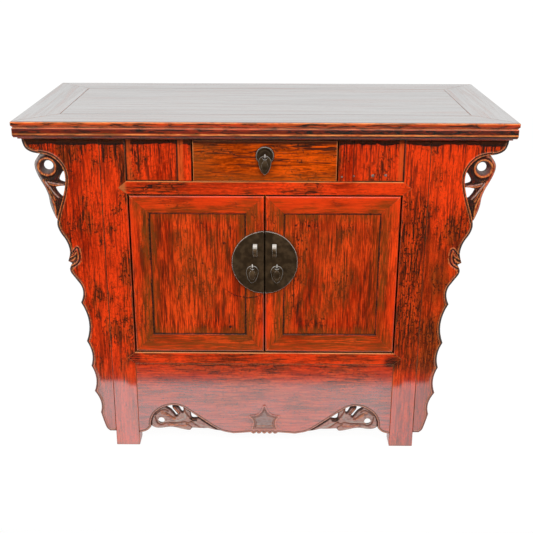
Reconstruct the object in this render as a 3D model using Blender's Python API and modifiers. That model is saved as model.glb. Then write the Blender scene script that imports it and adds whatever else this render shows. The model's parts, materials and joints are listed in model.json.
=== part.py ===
"""Red lacquered altar cabinet: one drawer, two pivot-hung doors, scalloped wings and a pierced apron.

Metres, +Z up, front toward -Y, origin on the floor below the middle of the top.
"""

import math

import bmesh
import bpy
from mathutils import Matrix, Vector

# Overall
HEIGHT = 0.850
TOP_WIDTH = 1.150
TOP_DEPTH = 0.550
FRONT_OVERHANG = 0.025
BACK_OVERHANG = 0.020
SIDE_OVERHANG = 0.015

# Clearances
FIT = 0.0003
OVERCUT = 0.006
WELD = 0.00001

# Points on each stretch of a curved outline
CURVE_STEPS = 4
SCALLOP_STEPS = 8
ARCH_STEPS = 12
HOLE_STEPS = 16
PIVOT_SIDES = 16
STEM_SIDES = 12
RING_SEGMENTS = 16
WIRE_SEGMENTS = 8
TURN_STEPS = 24

# Top: mitred frame, floating panel and two battens
TOP_THICKNESS = 0.042
TOP_FRAME_WIDTH = 0.093
TOP_ARRIS = 0.0018
EDGE_BAND = 0.0115
EDGE_GROOVE_HEIGHT = 0.0050
EDGE_GROOVE_DEPTH = 0.0040
EDGE_STEP = 0.0016
EDGE_FILLET_HEIGHT = 0.0045
EDGE_FILLET_INSET = 0.0110
TOP_PANEL_THICKNESS = 0.016
TOP_PANEL_TONGUE = 0.007
TOP_PANEL_TONGUE_THICKNESS = 0.006
TOP_PANEL_GAP = 0.0006
TOP_TENON_STOP = 0.018
BATTEN_WIDTH = 0.044
TENON_LENGTH = 0.014

# Posts and rails
POST_WIDTH = 0.060
POST_DEPTH = 0.048
POST_EASE = 0.0012
DRAWER_OPENING = 0.102
DRAWER_RAIL_HEIGHT = 0.032
DOOR_OPENING = 0.4085
DOOR_RAIL_HEIGHT = 0.031
RAIL_POINT = 0.020
RAIL_POINT_DEPTH = 0.012
SIDE_RAIL_HEIGHT = 0.034
SIDE_RAIL_THICKNESS = 0.030
BACK_RAIL_THICKNESS = 0.024
FRAME_INSET = 0.006
PANEL_THICKNESS = 0.010
PANEL_HOUSING = 0.007
FLOOR_THICKNESS = 0.012
FLOOR_DROP = 0.010

# Drawer row
DRAWER_OPENING_WIDTH = 0.340
DIVIDER_WIDTH = 0.034
DIVIDER_DEPTH = 0.030
FRIEZE_THICKNESS = 0.012
FRIEZE_RECESS = 0.004
DRAWER_GAP = 0.0030
DRAWER_HEADROOM = 0.0050
DRAWER_LENGTH = 0.420
DRAWER_FRONT_THICKNESS = 0.020
DRAWER_SIDE_THICKNESS = 0.012
DRAWER_SIDE_DROP = 0.018
DRAWER_BOTTOM_THICKNESS = 0.007
DRAWER_BOTTOM_RISE = 0.008
DRAWER_HOUSING = 0.007
RUNNER_SHELF = 0.022
RUNNER_WIDTH = 0.018
RUNNER_THICKNESS = 0.018
GUIDE_HEIGHT = 0.024

# Doors
DOOR_GAP = 0.0032
DOOR_THICKNESS = 0.028
DOOR_FRAME_WIDTH = 0.045
DOOR_ARRIS = 0.0025
DOOR_COVE_WIDTH = 0.017
DOOR_COVE_DEPTH = 0.0055
DOOR_COVE_SAG = (0.6, 0.3)
DOOR_PANEL_RECESS = 0.0075
DOOR_TENON_STOP = 0.016
PIVOT_INSET = 0.008
PIVOT_RADIUS = 0.005
PIVOT_LENGTH = 0.012
PIVOT_ROOT = 0.026
PIVOT_CLEARANCE = 0.0004

# Wings: reach is measured out from the post, drop down from the underside of the top
WING_REACH = 0.1775
WING_THICKNESS = 0.030
WING_TONGUE = 0.010
WING_CLEARANCE = 0.040
WING_EDGE = (
    (0.1755, 0.013), (0.1685, 0.027), (0.1525, 0.0355), (0.1305, 0.038), (0.1095, 0.045), (0.0935, 0.060),
    (0.0845, 0.078), (0.0825, 0.096), (0.0845, 0.115), (0.0915, 0.143), (0.1015, 0.173), (0.1085, 0.198),
    (0.1095, 0.213), (0.1035, 0.230), (0.0925, 0.248), (0.0865, 0.265), (0.0850, 0.282), (0.0905, 0.302),
)
WING_LOBE = ((0.0815, 0.307), (0.0875, 0.320), (0.0860, 0.331), (0.0775, 0.344), (0.0665, 0.360))
WING_HOLLOW_ABOVE = (0.0600, 0.383)
WING_FIRST_CUSP_DROP = 0.410
WING_CUSP_SHARES = (0.00, 0.29, 0.48, 0.68, 0.85)
WING_CUSP_REACHES = (0.0670, 0.0595, 0.0525, 0.0485, 0.0365)
WING_HOLLOW_REACHES = (0.0510, 0.0485, 0.0425, 0.0345)
WING_FOOT = ((0.0300, 0.028), (0.0235, 0.008), (0.0150, 0.000))
SCROLL_RELIEF = 0.004
SCROLL_LEAF = (
    (0.1405, 0.041), (0.1515, 0.057), (0.1535, 0.070), (0.1495, 0.086), (0.1415, 0.104), (0.1325, 0.122),
    (0.1265, 0.141), (0.1245, 0.159), (0.1195, 0.178), (0.1125, 0.196),
)
SCROLL_ROOT = ((0.1015, 0.204), (0.0675, 0.108), (0.0725, 0.056), (0.1225, 0.033))
SCROLL_GAPS = (
    ((0.0795, 0.081), (0.0895, 0.082), (0.1015, 0.102), (0.0945, 0.109), (0.0795, 0.109)),
    ((0.0795, 0.116), (0.1115, 0.1205), (0.0995, 0.144), (0.0875, 0.140)),
)
SCROLL_EYE = (0.1245, 0.070)
SCROLL_EYE_FRONT_RADIUS = 0.019
SCROLL_EYE_BACK_RADIUS = 0.011

# Apron: run is measured in from the post on the drawn half span, rise up from the lowest lobe
APRON_DRAWN_SPAN = 0.3222
APRON_CLEARANCE = 0.034
APRON_THICKNESS = 0.022
APRON_TONGUE = 0.008
APRON_TONGUE_MARGIN = 0.050
APRON_BRACKET = ((0.0, 0.002), (0.0125, 0.0045), (0.0225, 0.010), (0.0305, 0.019))
APRON_ARCH = (
    (0.0305, 0.019), (0.0320, 0.038), (0.0405, 0.057), (0.0545, 0.070), (0.0715, 0.0785), (0.0895, 0.082),
    (0.1095, 0.078), (0.1255, 0.068), (0.1475, 0.052), (0.1705, 0.035), (0.1945, 0.0175), (0.2145, 0.0065),
    (0.2425, 0.0005),
)
FRINGE_HALF_WIDTH = 0.0345
FRINGE_LOBES = 5
FRINGE_RISE = 0.0040
FRINGE_CROWN = 0.0015
APRON_LEAF = (
    (0.0335, 0.017), (0.0425, 0.013), (0.0565, 0.0125), (0.0725, 0.015), (0.0875, 0.015), (0.1045, 0.011),
    (0.1195, 0.0075), (0.1305, 0.007), (0.1365, 0.013), (0.1525, 0.0125), (0.1665, 0.012), (0.1795, 0.012),
    (0.1925, 0.008), (0.2085, 0.0055),
)
APRON_LEAF_ROOT = (
    (0.2045, 0.021), (0.1725, 0.048), (0.1275, 0.081), (0.0895, 0.094), (0.0475, 0.083), (0.0225, 0.056),
    (0.0245, 0.028),
)
APRON_GAPS = (
    ((0.0695, 0.074), (0.0845, 0.084), (0.0865, 0.072), (0.0925, 0.063), (0.0995, 0.052), (0.0955, 0.046),
     (0.0895, 0.054), (0.0815, 0.064)),
    ((0.0915, 0.084), (0.0945, 0.076), (0.1025, 0.070), (0.1095, 0.058), (0.1145, 0.062), (0.1105, 0.084)),
    ((0.1345, 0.062), (0.1515, 0.045), (0.1475, 0.0395), (0.1345, 0.041)),
)
APRON_EYE = (0.0575, 0.041)
APRON_EYE_FRONT_RADIUS = 0.011
APRON_EYE_BACK_RADIUS = 0.007
STAR_SHOULDER = ((0.004, 0.069), (0.010, 0.060), (0.020, 0.053), (0.036, 0.0505))
STAR_FLANK = ((0.028, 0.042), (0.026, 0.030), (0.030, 0.014))
STAR_PEAK = 0.080
STAR_CENTRE = 0.036
STAR_INNER_SHARE = 0.78
STAR_GROOVE_DEPTH = 0.002

# Lock plate, staples and pulls
LOCK_RADIUS = 0.079
LOCK_DROP = 0.165
LOCK_STEPS = 30
PLATE_THICKNESS = 0.002
PLATE_BEVEL = 0.0007
STAPLE_OFFSET = 0.0230
STAPLE_RISE = 0.031
STAPLE_TALL = 0.032
STAPLE_WIDE = 0.010
STAPLE_REACH = 0.014
STAPLE_STRAP = 0.0028
NAIL_DEPTH = 0.014
PULL_OFFSET = 0.0295
PULL_FALL = 0.007
DRAWER_PULL_DROP = 0.040
DRAWER_PLATE_RADIUS = 0.0210
DRAWER_PLATE_SHARES = ((0.55, 1.0), (0.62, 0.6), (0.78, 1.0), (0.94, 1.0), (1.0, 0.5), (1.0, 0.0))
EYE_WIRE = 0.0014
EYE_CLEAR = 0.0022
EYE_STANDOFF = 0.0012
PULL_THICKNESS = 0.0026
PULL_RIM = 0.0026
PULL_HALF_OUTLINE = ((0.0075, -0.001), (0.0130, -0.007), (0.0145, -0.015), (0.0122, -0.027), (0.0070, -0.038))
PULL_LENGTH = 0.0435
PULL_HOLE_HALF_WIDTH = 0.0050
PULL_HOLE_HEIGHT = 0.0070
PULL_SWELL = (0.0085, 0.0030, 0.0135)
PULL_SWELL_DROP = 0.0225

# Planes worked out from the sizes above
UNDERSIDE = HEIGHT - TOP_THICKNESS
BODY_FRONT = -TOP_DEPTH / 2 + FRONT_OVERHANG
BODY_BACK = TOP_DEPTH / 2 - BACK_OVERHANG
FRONT_POST_BACK = BODY_FRONT + POST_DEPTH
BACK_POST_FRONT = BODY_BACK - POST_DEPTH
POST_OUTER = TOP_WIDTH / 2 - SIDE_OVERHANG - WING_REACH
POST_INNER = POST_OUTER - POST_WIDTH
DRAWER_RAIL_TOP = UNDERSIDE - DRAWER_OPENING
DRAWER_RAIL_BOTTOM = DRAWER_RAIL_TOP - DRAWER_RAIL_HEIGHT
DOOR_RAIL_TOP = DRAWER_RAIL_BOTTOM - DOOR_OPENING
DOOR_RAIL_BOTTOM = DOOR_RAIL_TOP - DOOR_RAIL_HEIGHT
SIDE_RAIL_OUTER = POST_OUTER - FRAME_INSET
SIDE_RAIL_INNER = SIDE_RAIL_OUTER - SIDE_RAIL_THICKNESS
SIDE_RAIL_MIDDLE = (SIDE_RAIL_OUTER + SIDE_RAIL_INNER) / 2
BACK_RAIL_BACK = BODY_BACK - FRAME_INSET
BACK_RAIL_FRONT = BACK_RAIL_BACK - BACK_RAIL_THICKNESS
BACK_RAIL_MIDDLE = (BACK_RAIL_FRONT + BACK_RAIL_BACK) / 2
DRAWER_HALF_OPENING = DRAWER_OPENING_WIDTH / 2
DRAWER_HALF_WIDTH = DRAWER_HALF_OPENING - DRAWER_GAP
DOOR_BOTTOM = DOOR_RAIL_TOP + DOOR_GAP
DOOR_TOP = DRAWER_RAIL_BOTTOM - DOOR_GAP
DOOR_MEETING = DOOR_GAP / 2
DOOR_OUTER = POST_INNER - DOOR_GAP
DOOR_BACK = BODY_FRONT + DOOR_THICKNESS
PIVOT_X = DOOR_OUTER - PIVOT_INSET
PIVOT_Y = BODY_FRONT + PIVOT_INSET
APRON_TOP = DOOR_RAIL_BOTTOM - FIT
APRON_HALF_SPAN = POST_INNER - FIT
APRON_STRETCH = APRON_HALF_SPAN / APRON_DRAWN_SPAN
LOCK_HEIGHT = DOOR_TOP - LOCK_DROP
STAPLE_HEIGHT = LOCK_HEIGHT + STAPLE_RISE
PULL_HEIGHT = LOCK_HEIGHT - PULL_FALL
PLATE_FRONT = BODY_FRONT - FIT - PLATE_THICKNESS
NAIL_END = BODY_FRONT + NAIL_DEPTH

SIDES = (("left", -1), ("right", 1))
QUARTER = math.pi / 2
# A bar's section is drawn as (inset from its outer edge, height) and runs along its own third axis
LYING_BAR = Matrix(((0, 0, 1, 0), (1, 0, 0, 0), (0, 1, 0, 0), (0, 0, 0, 1)))
STANDING_BAR = Matrix(((0, 0, 1, 0), (0, -1, 0, 0), (1, 0, 0, 0), (0, 0, 0, 1)))
FACING_FRONT = Matrix.Rotation(QUARTER, 4, "X")


def clear_scene():
    for obj in list(bpy.data.objects):
        bpy.data.objects.remove(obj)


def new_collection(name):
    made = bpy.data.collections.new(name)
    bpy.context.scene.collection.children.link(made)
    return made


def new_finish(name, colour, roughness, metallic=0.0):
    finish = bpy.data.materials.new(name)
    finish.use_nodes = True
    shader = finish.node_tree.nodes["Principled BSDF"]
    shader.inputs["Base Color"].default_value = (*colour, 1.0)
    shader.inputs["Roughness"].default_value = roughness
    shader.inputs["Metallic"].default_value = metallic
    return finish


clear_scene()
PARTS = new_collection("altar_cabinet")
CUTTERS = new_collection("altar_cabinet_cutters")
RED = new_finish("red_lacquer", (0.55, 0.045, 0.012), 0.35)
WORN = new_finish("worn_top_lacquer", (0.30, 0.075, 0.035), 0.30)
AMBER = new_finish("amber_drawer_lacquer", (0.40, 0.085, 0.012), 0.40)
BARE = new_finish("bare_elm", (0.34, 0.20, 0.10), 0.70)
BRONZE = new_finish("dark_bronze", (0.06, 0.045, 0.025), 0.38, 0.9)


def place(name, mesh, finish, matrix):
    """Adds the mesh as a part, or as a hidden helper when it has no finish."""
    obj = bpy.data.objects.new(name, mesh)
    obj.matrix_world = matrix
    if finish is None:
        CUTTERS.objects.link(obj)
        obj.hide_render = True
        obj.display_type = "WIRE"
    else:
        PARTS.objects.link(obj)
        mesh.materials.append(finish)
    return obj


def box(name, xs, ys, zs, finish=None, margin=0.0):
    """A block between two values on each axis, given in either order."""
    low = Vector([min(pair) - margin for pair in (xs, ys, zs)])
    high = Vector([max(pair) + margin for pair in (xs, ys, zs)])
    mesh = bpy.data.meshes.new(name)
    shape = bmesh.new()
    bmesh.ops.create_cube(shape, size=1.0, matrix=Matrix.Diagonal((*(high - low), 1.0)))
    shape.to_mesh(mesh)
    shape.free()
    return place(name, mesh, finish, Matrix.Translation((low + high) / 2))


def rod(name, radius, tip_radius, length, matrix, finish=None, sides=PIVOT_SIDES):
    """A cylinder or cone along its own third axis, centred on its origin."""
    mesh = bpy.data.meshes.new(name)
    shape = bmesh.new()
    bmesh.ops.create_cone(
        shape, cap_ends=True, segments=sides, radius1=radius, radius2=tip_radius, depth=length
    )
    shape.to_mesh(mesh)
    shape.free()
    return place(name, mesh, finish, matrix)


def weld(mesh):
    shape = bmesh.new()
    shape.from_mesh(mesh)
    bmesh.ops.remove_doubles(shape, verts=shape.verts, dist=WELD)
    bmesh.ops.recalc_face_normals(shape, faces=shape.faces)
    shape.to_mesh(mesh)
    shape.free()


def extruded(name, outlines, thickness, matrix, finish=None):
    """A flat outline, with any further outlines as holes, thickened evenly about its plane."""
    curve = bpy.data.curves.new(name, "CURVE")
    curve.dimensions = "2D"
    curve.fill_mode = "BOTH"
    curve.extrude = thickness / 2
    for outline in outlines:
        spline = curve.splines.new("POLY")
        spline.points.add(len(outline) - 1)
        for point, (across, up) in zip(spline.points, outline):
            point.co = (across, up, 0.0, 1.0)
        spline.use_cyclic_u = True
    guide = bpy.data.objects.new(name + "_outline", curve)
    bpy.context.scene.collection.objects.link(guide)
    bpy.context.view_layer.update()
    graph = bpy.context.evaluated_depsgraph_get()
    mesh = bpy.data.meshes.new_from_object(guide.evaluated_get(graph))
    bpy.data.objects.remove(guide)
    mesh.name = name
    weld(mesh)
    return place(name, mesh, finish, matrix)


def front_plate(name, outlines, front, back, finish=None):
    """An outline in X and Z that fills the depth from front to back."""
    matrix = Matrix.Translation((0.0, (front + back) / 2, 0.0)) @ FACING_FRONT
    return extruded(name, outlines, abs(back - front), matrix, finish)


def mitred_bar(name, section, length, matrix, finish):
    """A moulded bar whose ends are cut back by the inset from its outer edge, to meet in mitres."""
    bar = extruded(name, [section], length, matrix, finish)
    for vertex in bar.data.vertices:
        vertex.co.z = math.copysign(length / 2 - vertex.co.x - FIT / 2, vertex.co.z)
    return bar


def boolean(target, other, operation):
    modifier = target.modifiers.new(operation.lower(), "BOOLEAN")
    modifier.operation = operation
    modifier.object = other
    modifier.solver = "EXACT"


def cut(target, cutter):
    boolean(target, cutter, "DIFFERENCE")


def join(target, other):
    boolean(target, other, "UNION")


def ease(obj, width):
    """Takes the sharpness off every arris."""
    modifier = obj.modifiers.new("ease", "BEVEL")
    modifier.width = width
    modifier.segments = 1
    modifier.limit_method = "ANGLE"
    return obj


def tenon(member, housing, xs, ys, zs):
    """Lengthens the member by a tenon and cuts its mortise in the housing piece."""
    join(member, box(member.name + "_tenon", xs, ys, zs))
    cut(housing, box(housing.name + "_mortise", xs, ys, zs, margin=FIT))


def housed_panel(name, xs, ys, zs, finish, neighbours):
    """A board whose edges sit in grooves in its neighbours."""
    panel = box(name, xs, ys, zs, finish)
    groove = box(name + "_groove", xs, ys, zs, margin=FIT)
    for neighbour in neighbours:
        cut(neighbour, groove)
    return panel


def middle_third(low, high):
    third = (high - low) / 3
    return low + third, high - third


def axis(name, place_at, pieces):
    """An empty on a joint's axis that carries the pieces that move with it."""
    empty = bpy.data.objects.new(name, None)
    PARTS.objects.link(empty)
    empty.matrix_world = Matrix.Translation(place_at)
    for piece in pieces:
        piece.parent = empty
        piece.matrix_parent_inverse = empty.matrix_world.inverted()
    return empty


def smooth(points, steps=CURVE_STEPS, closed=False):
    """A curve through the points, with each stretch led by the neighbours of its two ends."""
    count = len(points)
    stretches = count if closed else count - 1
    path = []
    for index in range(stretches):
        if closed:
            corners = [points[(index + offset) % count] for offset in (-1, 0, 1, 2)]
        else:
            corners = [points[min(max(index + offset, 0), count - 1)] for offset in (-1, 0, 1, 2)]
        before, start, end, after = (Vector(corner) for corner in corners)
        for step in range(steps):
            t = step / steps
            cubic = -before + 3 * start - 3 * end + after
            square = 2 * before - 5 * start + 4 * end - after
            spot = start + 0.5 * ((end - before) * t + square * t * t + cubic * t * t * t)
            path.append(tuple(spot))
    if not closed:
        path.append(tuple(points[-1]))
    return path


def hollow(start, deepest, end, steps=SCALLOP_STEPS):
    """A parabolic scallop from start to end through its deepest point, without its last point."""
    start, deepest, end = Vector(start), Vector(deepest), Vector(end)
    control = 2 * deepest - (start + end) / 2
    path = []
    for step in range(steps):
        t = step / steps
        path.append(tuple(start * (1 - t) ** 2 + control * 2 * t * (1 - t) + end * t * t))
    return path


def top_section():
    band_foot = TOP_THICKNESS - EDGE_BAND
    return [
        (EDGE_FILLET_INSET, 0.0),
        (TOP_FRAME_WIDTH, 0.0),
        (TOP_FRAME_WIDTH, TOP_THICKNESS),
        (TOP_ARRIS, TOP_THICKNESS),
        (0.0, TOP_THICKNESS - TOP_ARRIS),
        (0.0, band_foot + TOP_ARRIS),
        (EDGE_GROOVE_DEPTH, band_foot - EDGE_GROOVE_HEIGHT / 2),
        (EDGE_STEP, band_foot - EDGE_GROOVE_HEIGHT),
        (EDGE_STEP, EDGE_FILLET_HEIGHT + EDGE_GROOVE_HEIGHT),
        (EDGE_GROOVE_DEPTH, EDGE_FILLET_HEIGHT),
        (EDGE_FILLET_INSET, EDGE_FILLET_HEIGHT),
    ]


def make_top():
    """Frame, floating panel and battens; returns the front and back rails."""
    section = top_section()
    frame = {}
    for turn, name in enumerate(("front_rail", "right_end", "back_rail", "left_end")):
        length, span = (TOP_WIDTH, TOP_DEPTH) if turn % 2 == 0 else (TOP_DEPTH, TOP_WIDTH)
        matrix = Matrix.Rotation(turn * QUARTER, 4, "Z") @ Matrix.Translation((0.0, -span / 2, UNDERSIDE))
        frame[name] = mitred_bar("top_" + name, section, length, matrix @ LYING_BAR, WORN)
    third = TOP_FRAME_WIDTH / 3
    tongue_top = HEIGHT - (TOP_PANEL_THICKNESS - TOP_PANEL_TONGUE_THICKNESS) / 2
    tongue_zs = (tongue_top - TOP_PANEL_TONGUE_THICKNESS, tongue_top)
    corner_zs = middle_third(UNDERSIDE, tongue_zs[0])
    for end, side in SIDES:
        for rail, facing in (("front_rail", -1), ("back_rail", 1)):
            xs = [side * (TOP_WIDTH / 2 - inset) for inset in (TOP_FRAME_WIDTH - OVERCUT, TOP_TENON_STOP)]
            ys = [facing * (TOP_DEPTH / 2 - inset) for inset in (third, 2 * third)]
            tenon(frame[rail], frame[end + "_end"], xs, ys, corner_zs)
    field_x = TOP_WIDTH / 2 - TOP_FRAME_WIDTH - TOP_PANEL_GAP
    field_y = TOP_DEPTH / 2 - TOP_FRAME_WIDTH - TOP_PANEL_GAP
    field_zs = (HEIGHT - TOP_PANEL_THICKNESS, HEIGHT)
    panel = box("top_panel", (-field_x, field_x), (-field_y, field_y), field_zs, WORN)
    tongue_x = field_x + TOP_PANEL_TONGUE
    tongue_y = field_y + TOP_PANEL_TONGUE
    tongue = ((-tongue_x, tongue_x), (-tongue_y, tongue_y), tongue_zs)
    join(panel, box("top_panel_tongue", *tongue))
    groove = box("top_panel_groove", *tongue, margin=FIT)
    for bar in frame.values():
        cut(bar, groove)
    for name, side in SIDES:
        make_batten(name, side, frame)
    return frame["front_rail"], frame["back_rail"]


def make_batten(name, side, frame):
    """A cross bar below the panel, tenoned into the long rails and resting on the side frame."""
    centre = side * SIDE_RAIL_MIDDLE
    half = BATTEN_WIDTH / 2
    reach = TOP_DEPTH / 2 - TOP_FRAME_WIDTH
    zs = (UNDERSIDE, HEIGHT - TOP_PANEL_THICKNESS - FIT)
    batten = box("top_batten_" + name, (centre - half, centre + half), (-reach + FIT, reach - FIT), zs, BARE)
    tenon_xs = middle_third(centre - half, centre + half)
    for rail, facing in (("front_rail", -1), ("back_rail", 1)):
        ys = (facing * (reach - TENON_LENGTH), facing * (reach + TENON_LENGTH))
        tenon(batten, frame[rail], tenon_xs, ys, middle_third(*zs))


def make_posts(top_front, top_back):
    """Four posts, tenoned up into the top's long rails."""
    posts = {}
    for row, ys, rail in (
        ("front", (BODY_FRONT, FRONT_POST_BACK), top_front),
        ("back", (BACK_POST_FRONT, BODY_BACK), top_back),
    ):
        for name, side in SIDES:
            xs = (side * POST_INNER, side * POST_OUTER)
            post = box(f"post_{row}_{name}", xs, ys, (0.0, UNDERSIDE - FIT), RED)
            ease(post, POST_EASE)
            zs = (UNDERSIDE - TENON_LENGTH, UNDERSIDE + TENON_LENGTH)
            tenon(post, rail, middle_third(min(xs), max(xs)), middle_third(*ys), zs)
            posts[row, name] = post
    return posts


def make_pointed_rail(name, bottom, top, posts):
    """A front rail whose show face ends in points let into the posts, with a tenon behind each point."""
    middle = (bottom + top) / 2
    half = (top - bottom) / 2
    tip = POST_INNER + RAIL_POINT
    outline = [
        (-POST_INNER, bottom), (POST_INNER, bottom), (tip, middle),
        (POST_INNER, top), (-POST_INNER, top), (-tip, middle),
    ]
    rail = front_plate(name, [outline], BODY_FRONT, FRONT_POST_BACK, RED)
    point_back = BODY_FRONT + RAIL_POINT_DEPTH
    slant = math.hypot(half, RAIL_POINT)
    for end, side in SIDES:
        post = posts["front", end]
        shoulder_xs = (side * (POST_INNER - FIT), side * (tip + OVERCUT))
        shoulder_zs = (bottom - OVERCUT, top + OVERCUT)
        cut(rail, box(name + "_shoulder", shoulder_xs, (point_back, FRONT_POST_BACK + OVERCUT), shoulder_zs))
        mouth = half * (1 + OVERCUT / RAIL_POINT) + FIT * slant / RAIL_POINT
        notch = [
            (side * (POST_INNER - OVERCUT), middle - mouth),
            (side * (tip + FIT * slant / half), middle),
            (side * (POST_INNER - OVERCUT), middle + mouth),
        ]
        cut(post, front_plate(name + "_notch", [notch], BODY_FRONT - OVERCUT, point_back + FIT))
        xs = (side * (POST_INNER - TENON_LENGTH), side * (POST_INNER + TENON_LENGTH))
        tenon(rail, post, xs, middle_third(point_back, FRONT_POST_BACK), middle_third(bottom, top))
    return rail


def make_side(name, side, posts):
    """Upper and lower rails and a housed panel between a front and a back post; returns the lower rail."""
    xs = (side * SIDE_RAIL_INNER, side * SIDE_RAIL_OUTER)
    ys = (FRONT_POST_BACK + FIT, BACK_POST_FRONT - FIT)
    levels = {
        "upper": (UNDERSIDE - SIDE_RAIL_HEIGHT, UNDERSIDE - FIT),
        "lower": (DOOR_RAIL_BOTTOM, DOOR_RAIL_TOP),
    }
    rails = {}
    for level, zs in levels.items():
        rail = box(f"side_{level}_rail_{name}", xs, ys, zs, RED)
        for row, face in (("front", FRONT_POST_BACK), ("back", BACK_POST_FRONT)):
            tenon_ys = (face - TENON_LENGTH, face + TENON_LENGTH)
            tenon(rail, posts[row, name], middle_third(min(xs), max(xs)), tenon_ys, middle_third(*zs))
        rails[level] = rail
    centre = side * SIDE_RAIL_MIDDLE
    housed_panel(
        "side_panel_" + name,
        (centre - PANEL_THICKNESS / 2, centre + PANEL_THICKNESS / 2),
        (FRONT_POST_BACK - PANEL_HOUSING, BACK_POST_FRONT + PANEL_HOUSING),
        (DOOR_RAIL_TOP - PANEL_HOUSING, UNDERSIDE - SIDE_RAIL_HEIGHT + PANEL_HOUSING),
        RED,
        [rails["upper"], rails["lower"], posts["front", name], posts["back", name]],
    )
    return rails["lower"]


def make_back(posts):
    """Three rails and two panels between the back posts; returns the middle and lower rails."""
    xs = (-POST_INNER + FIT, POST_INNER - FIT)
    ys = (BACK_RAIL_FRONT, BACK_RAIL_BACK)
    levels = {
        "upper": (UNDERSIDE - SIDE_RAIL_HEIGHT, UNDERSIDE - FIT),
        "middle": (DRAWER_RAIL_BOTTOM, DRAWER_RAIL_TOP),
        "lower": (DOOR_RAIL_BOTTOM, DOOR_RAIL_TOP),
    }
    rails = {}
    for level, zs in levels.items():
        rail = box(f"back_{level}_rail", xs, ys, zs, BARE)
        for name, side in SIDES:
            tenon_xs = (side * (POST_INNER - TENON_LENGTH), side * (POST_INNER + TENON_LENGTH))
            tenon(rail, posts["back", name], tenon_xs, middle_third(*ys), middle_third(*zs))
        rails[level] = rail
    panel_ys = (BACK_RAIL_MIDDLE - PANEL_THICKNESS / 2, BACK_RAIL_MIDDLE + PANEL_THICKNESS / 2)
    for name, below, above in (("back_panel", "lower", "middle"), ("back_upper_panel", "middle", "upper")):
        housed_panel(
            name,
            (-POST_INNER - PANEL_HOUSING, POST_INNER + PANEL_HOUSING),
            panel_ys,
            (levels[below][1] - PANEL_HOUSING, levels[above][0] + PANEL_HOUSING),
            BARE,
            [rails[below], rails[above], posts["back", "left"], posts["back", "right"]],
        )
    return rails["middle"], rails["lower"]


def make_floor(door_rail, back_rail, side_rails):
    """The cabinet's floor board, grooved into the four rails and notched round the posts."""
    wide = SIDE_RAIL_INNER + PANEL_HOUSING
    narrow = POST_INNER - FIT
    front = FRONT_POST_BACK - PANEL_HOUSING
    back = BACK_RAIL_FRONT + PANEL_HOUSING
    post_front = FRONT_POST_BACK + FIT
    post_back = BACK_POST_FRONT - FIT
    right = [
        (narrow, front), (narrow, post_front), (wide, post_front),
        (wide, post_back), (narrow, post_back), (narrow, back),
    ]
    outline = right + [(-across, along) for across, along in reversed(right)]
    top = DOOR_RAIL_TOP - FLOOR_DROP
    zs = (top - FLOOR_THICKNESS, top)
    matrix = Matrix.Translation((0.0, 0.0, sum(zs) / 2))
    extruded("bottom_board", [outline], FLOOR_THICKNESS, matrix, BARE)
    long_groove = box("floor_long_groove", (-narrow, narrow), (front, back), zs, margin=FIT)
    cut(door_rail, long_groove)
    cut(back_rail, long_groove)
    cross_groove = box("floor_cross_groove", (-wide, wide), (post_front, post_back), zs, margin=FIT)
    for rail in side_rails:
        cut(rail, cross_groove)


def make_divider(name, side, drawer_rail, top_front, post):
    """The upright beside the drawer and the recessed frieze panel between it and the post."""
    xs = (side * DRAWER_HALF_OPENING, side * (DRAWER_HALF_OPENING + DIVIDER_WIDTH))
    ys = (BODY_FRONT, BODY_FRONT + DIVIDER_DEPTH)
    zs = (DRAWER_RAIL_TOP + FIT, UNDERSIDE - FIT)
    divider = ease(box("divider_" + name, xs, ys, zs, RED), POST_EASE)
    tenon_xs = middle_third(min(xs), max(xs))
    for level, housing in ((DRAWER_RAIL_TOP, drawer_rail), (UNDERSIDE, top_front)):
        tenon(divider, housing, tenon_xs, middle_third(*ys), (level - TENON_LENGTH, level + TENON_LENGTH))
    panel_front = BODY_FRONT + FRIEZE_RECESS
    housed_panel(
        "frieze_panel_" + name,
        (xs[1] - side * PANEL_HOUSING, side * (POST_INNER + PANEL_HOUSING)),
        (panel_front, panel_front + FRIEZE_THICKNESS),
        zs,
        RED,
        [divider, post],
    )


def make_runner(name, side, drawer_rail, back_rail):
    """A shelf under a drawer side with a guide beside it, tenoned into the front and back rails."""
    inner = DRAWER_HALF_OPENING - RUNNER_SHELF
    outer = DRAWER_HALF_OPENING + RUNNER_WIDTH
    bottom = DRAWER_RAIL_TOP - RUNNER_THICKNESS
    outline = [
        (side * inner, bottom),
        (side * outer, bottom),
        (side * outer, DRAWER_RAIL_TOP + GUIDE_HEIGHT),
        (side * DRAWER_HALF_OPENING, DRAWER_RAIL_TOP + GUIDE_HEIGHT),
        (side * DRAWER_HALF_OPENING, DRAWER_RAIL_TOP),
        (side * inner, DRAWER_RAIL_TOP),
    ]
    runner = front_plate("drawer_runner_" + name, [outline], FRONT_POST_BACK + FIT, BACK_RAIL_FRONT - FIT, BARE)
    xs = [side * across for across in middle_third(inner, outer)]
    zs = middle_third(bottom, DRAWER_RAIL_TOP)
    for housing, face in ((drawer_rail, FRONT_POST_BACK), (back_rail, BACK_RAIL_FRONT)):
        tenon(runner, housing, xs, (face - PANEL_HOUSING, face + PANEL_HOUSING), zs)


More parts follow.
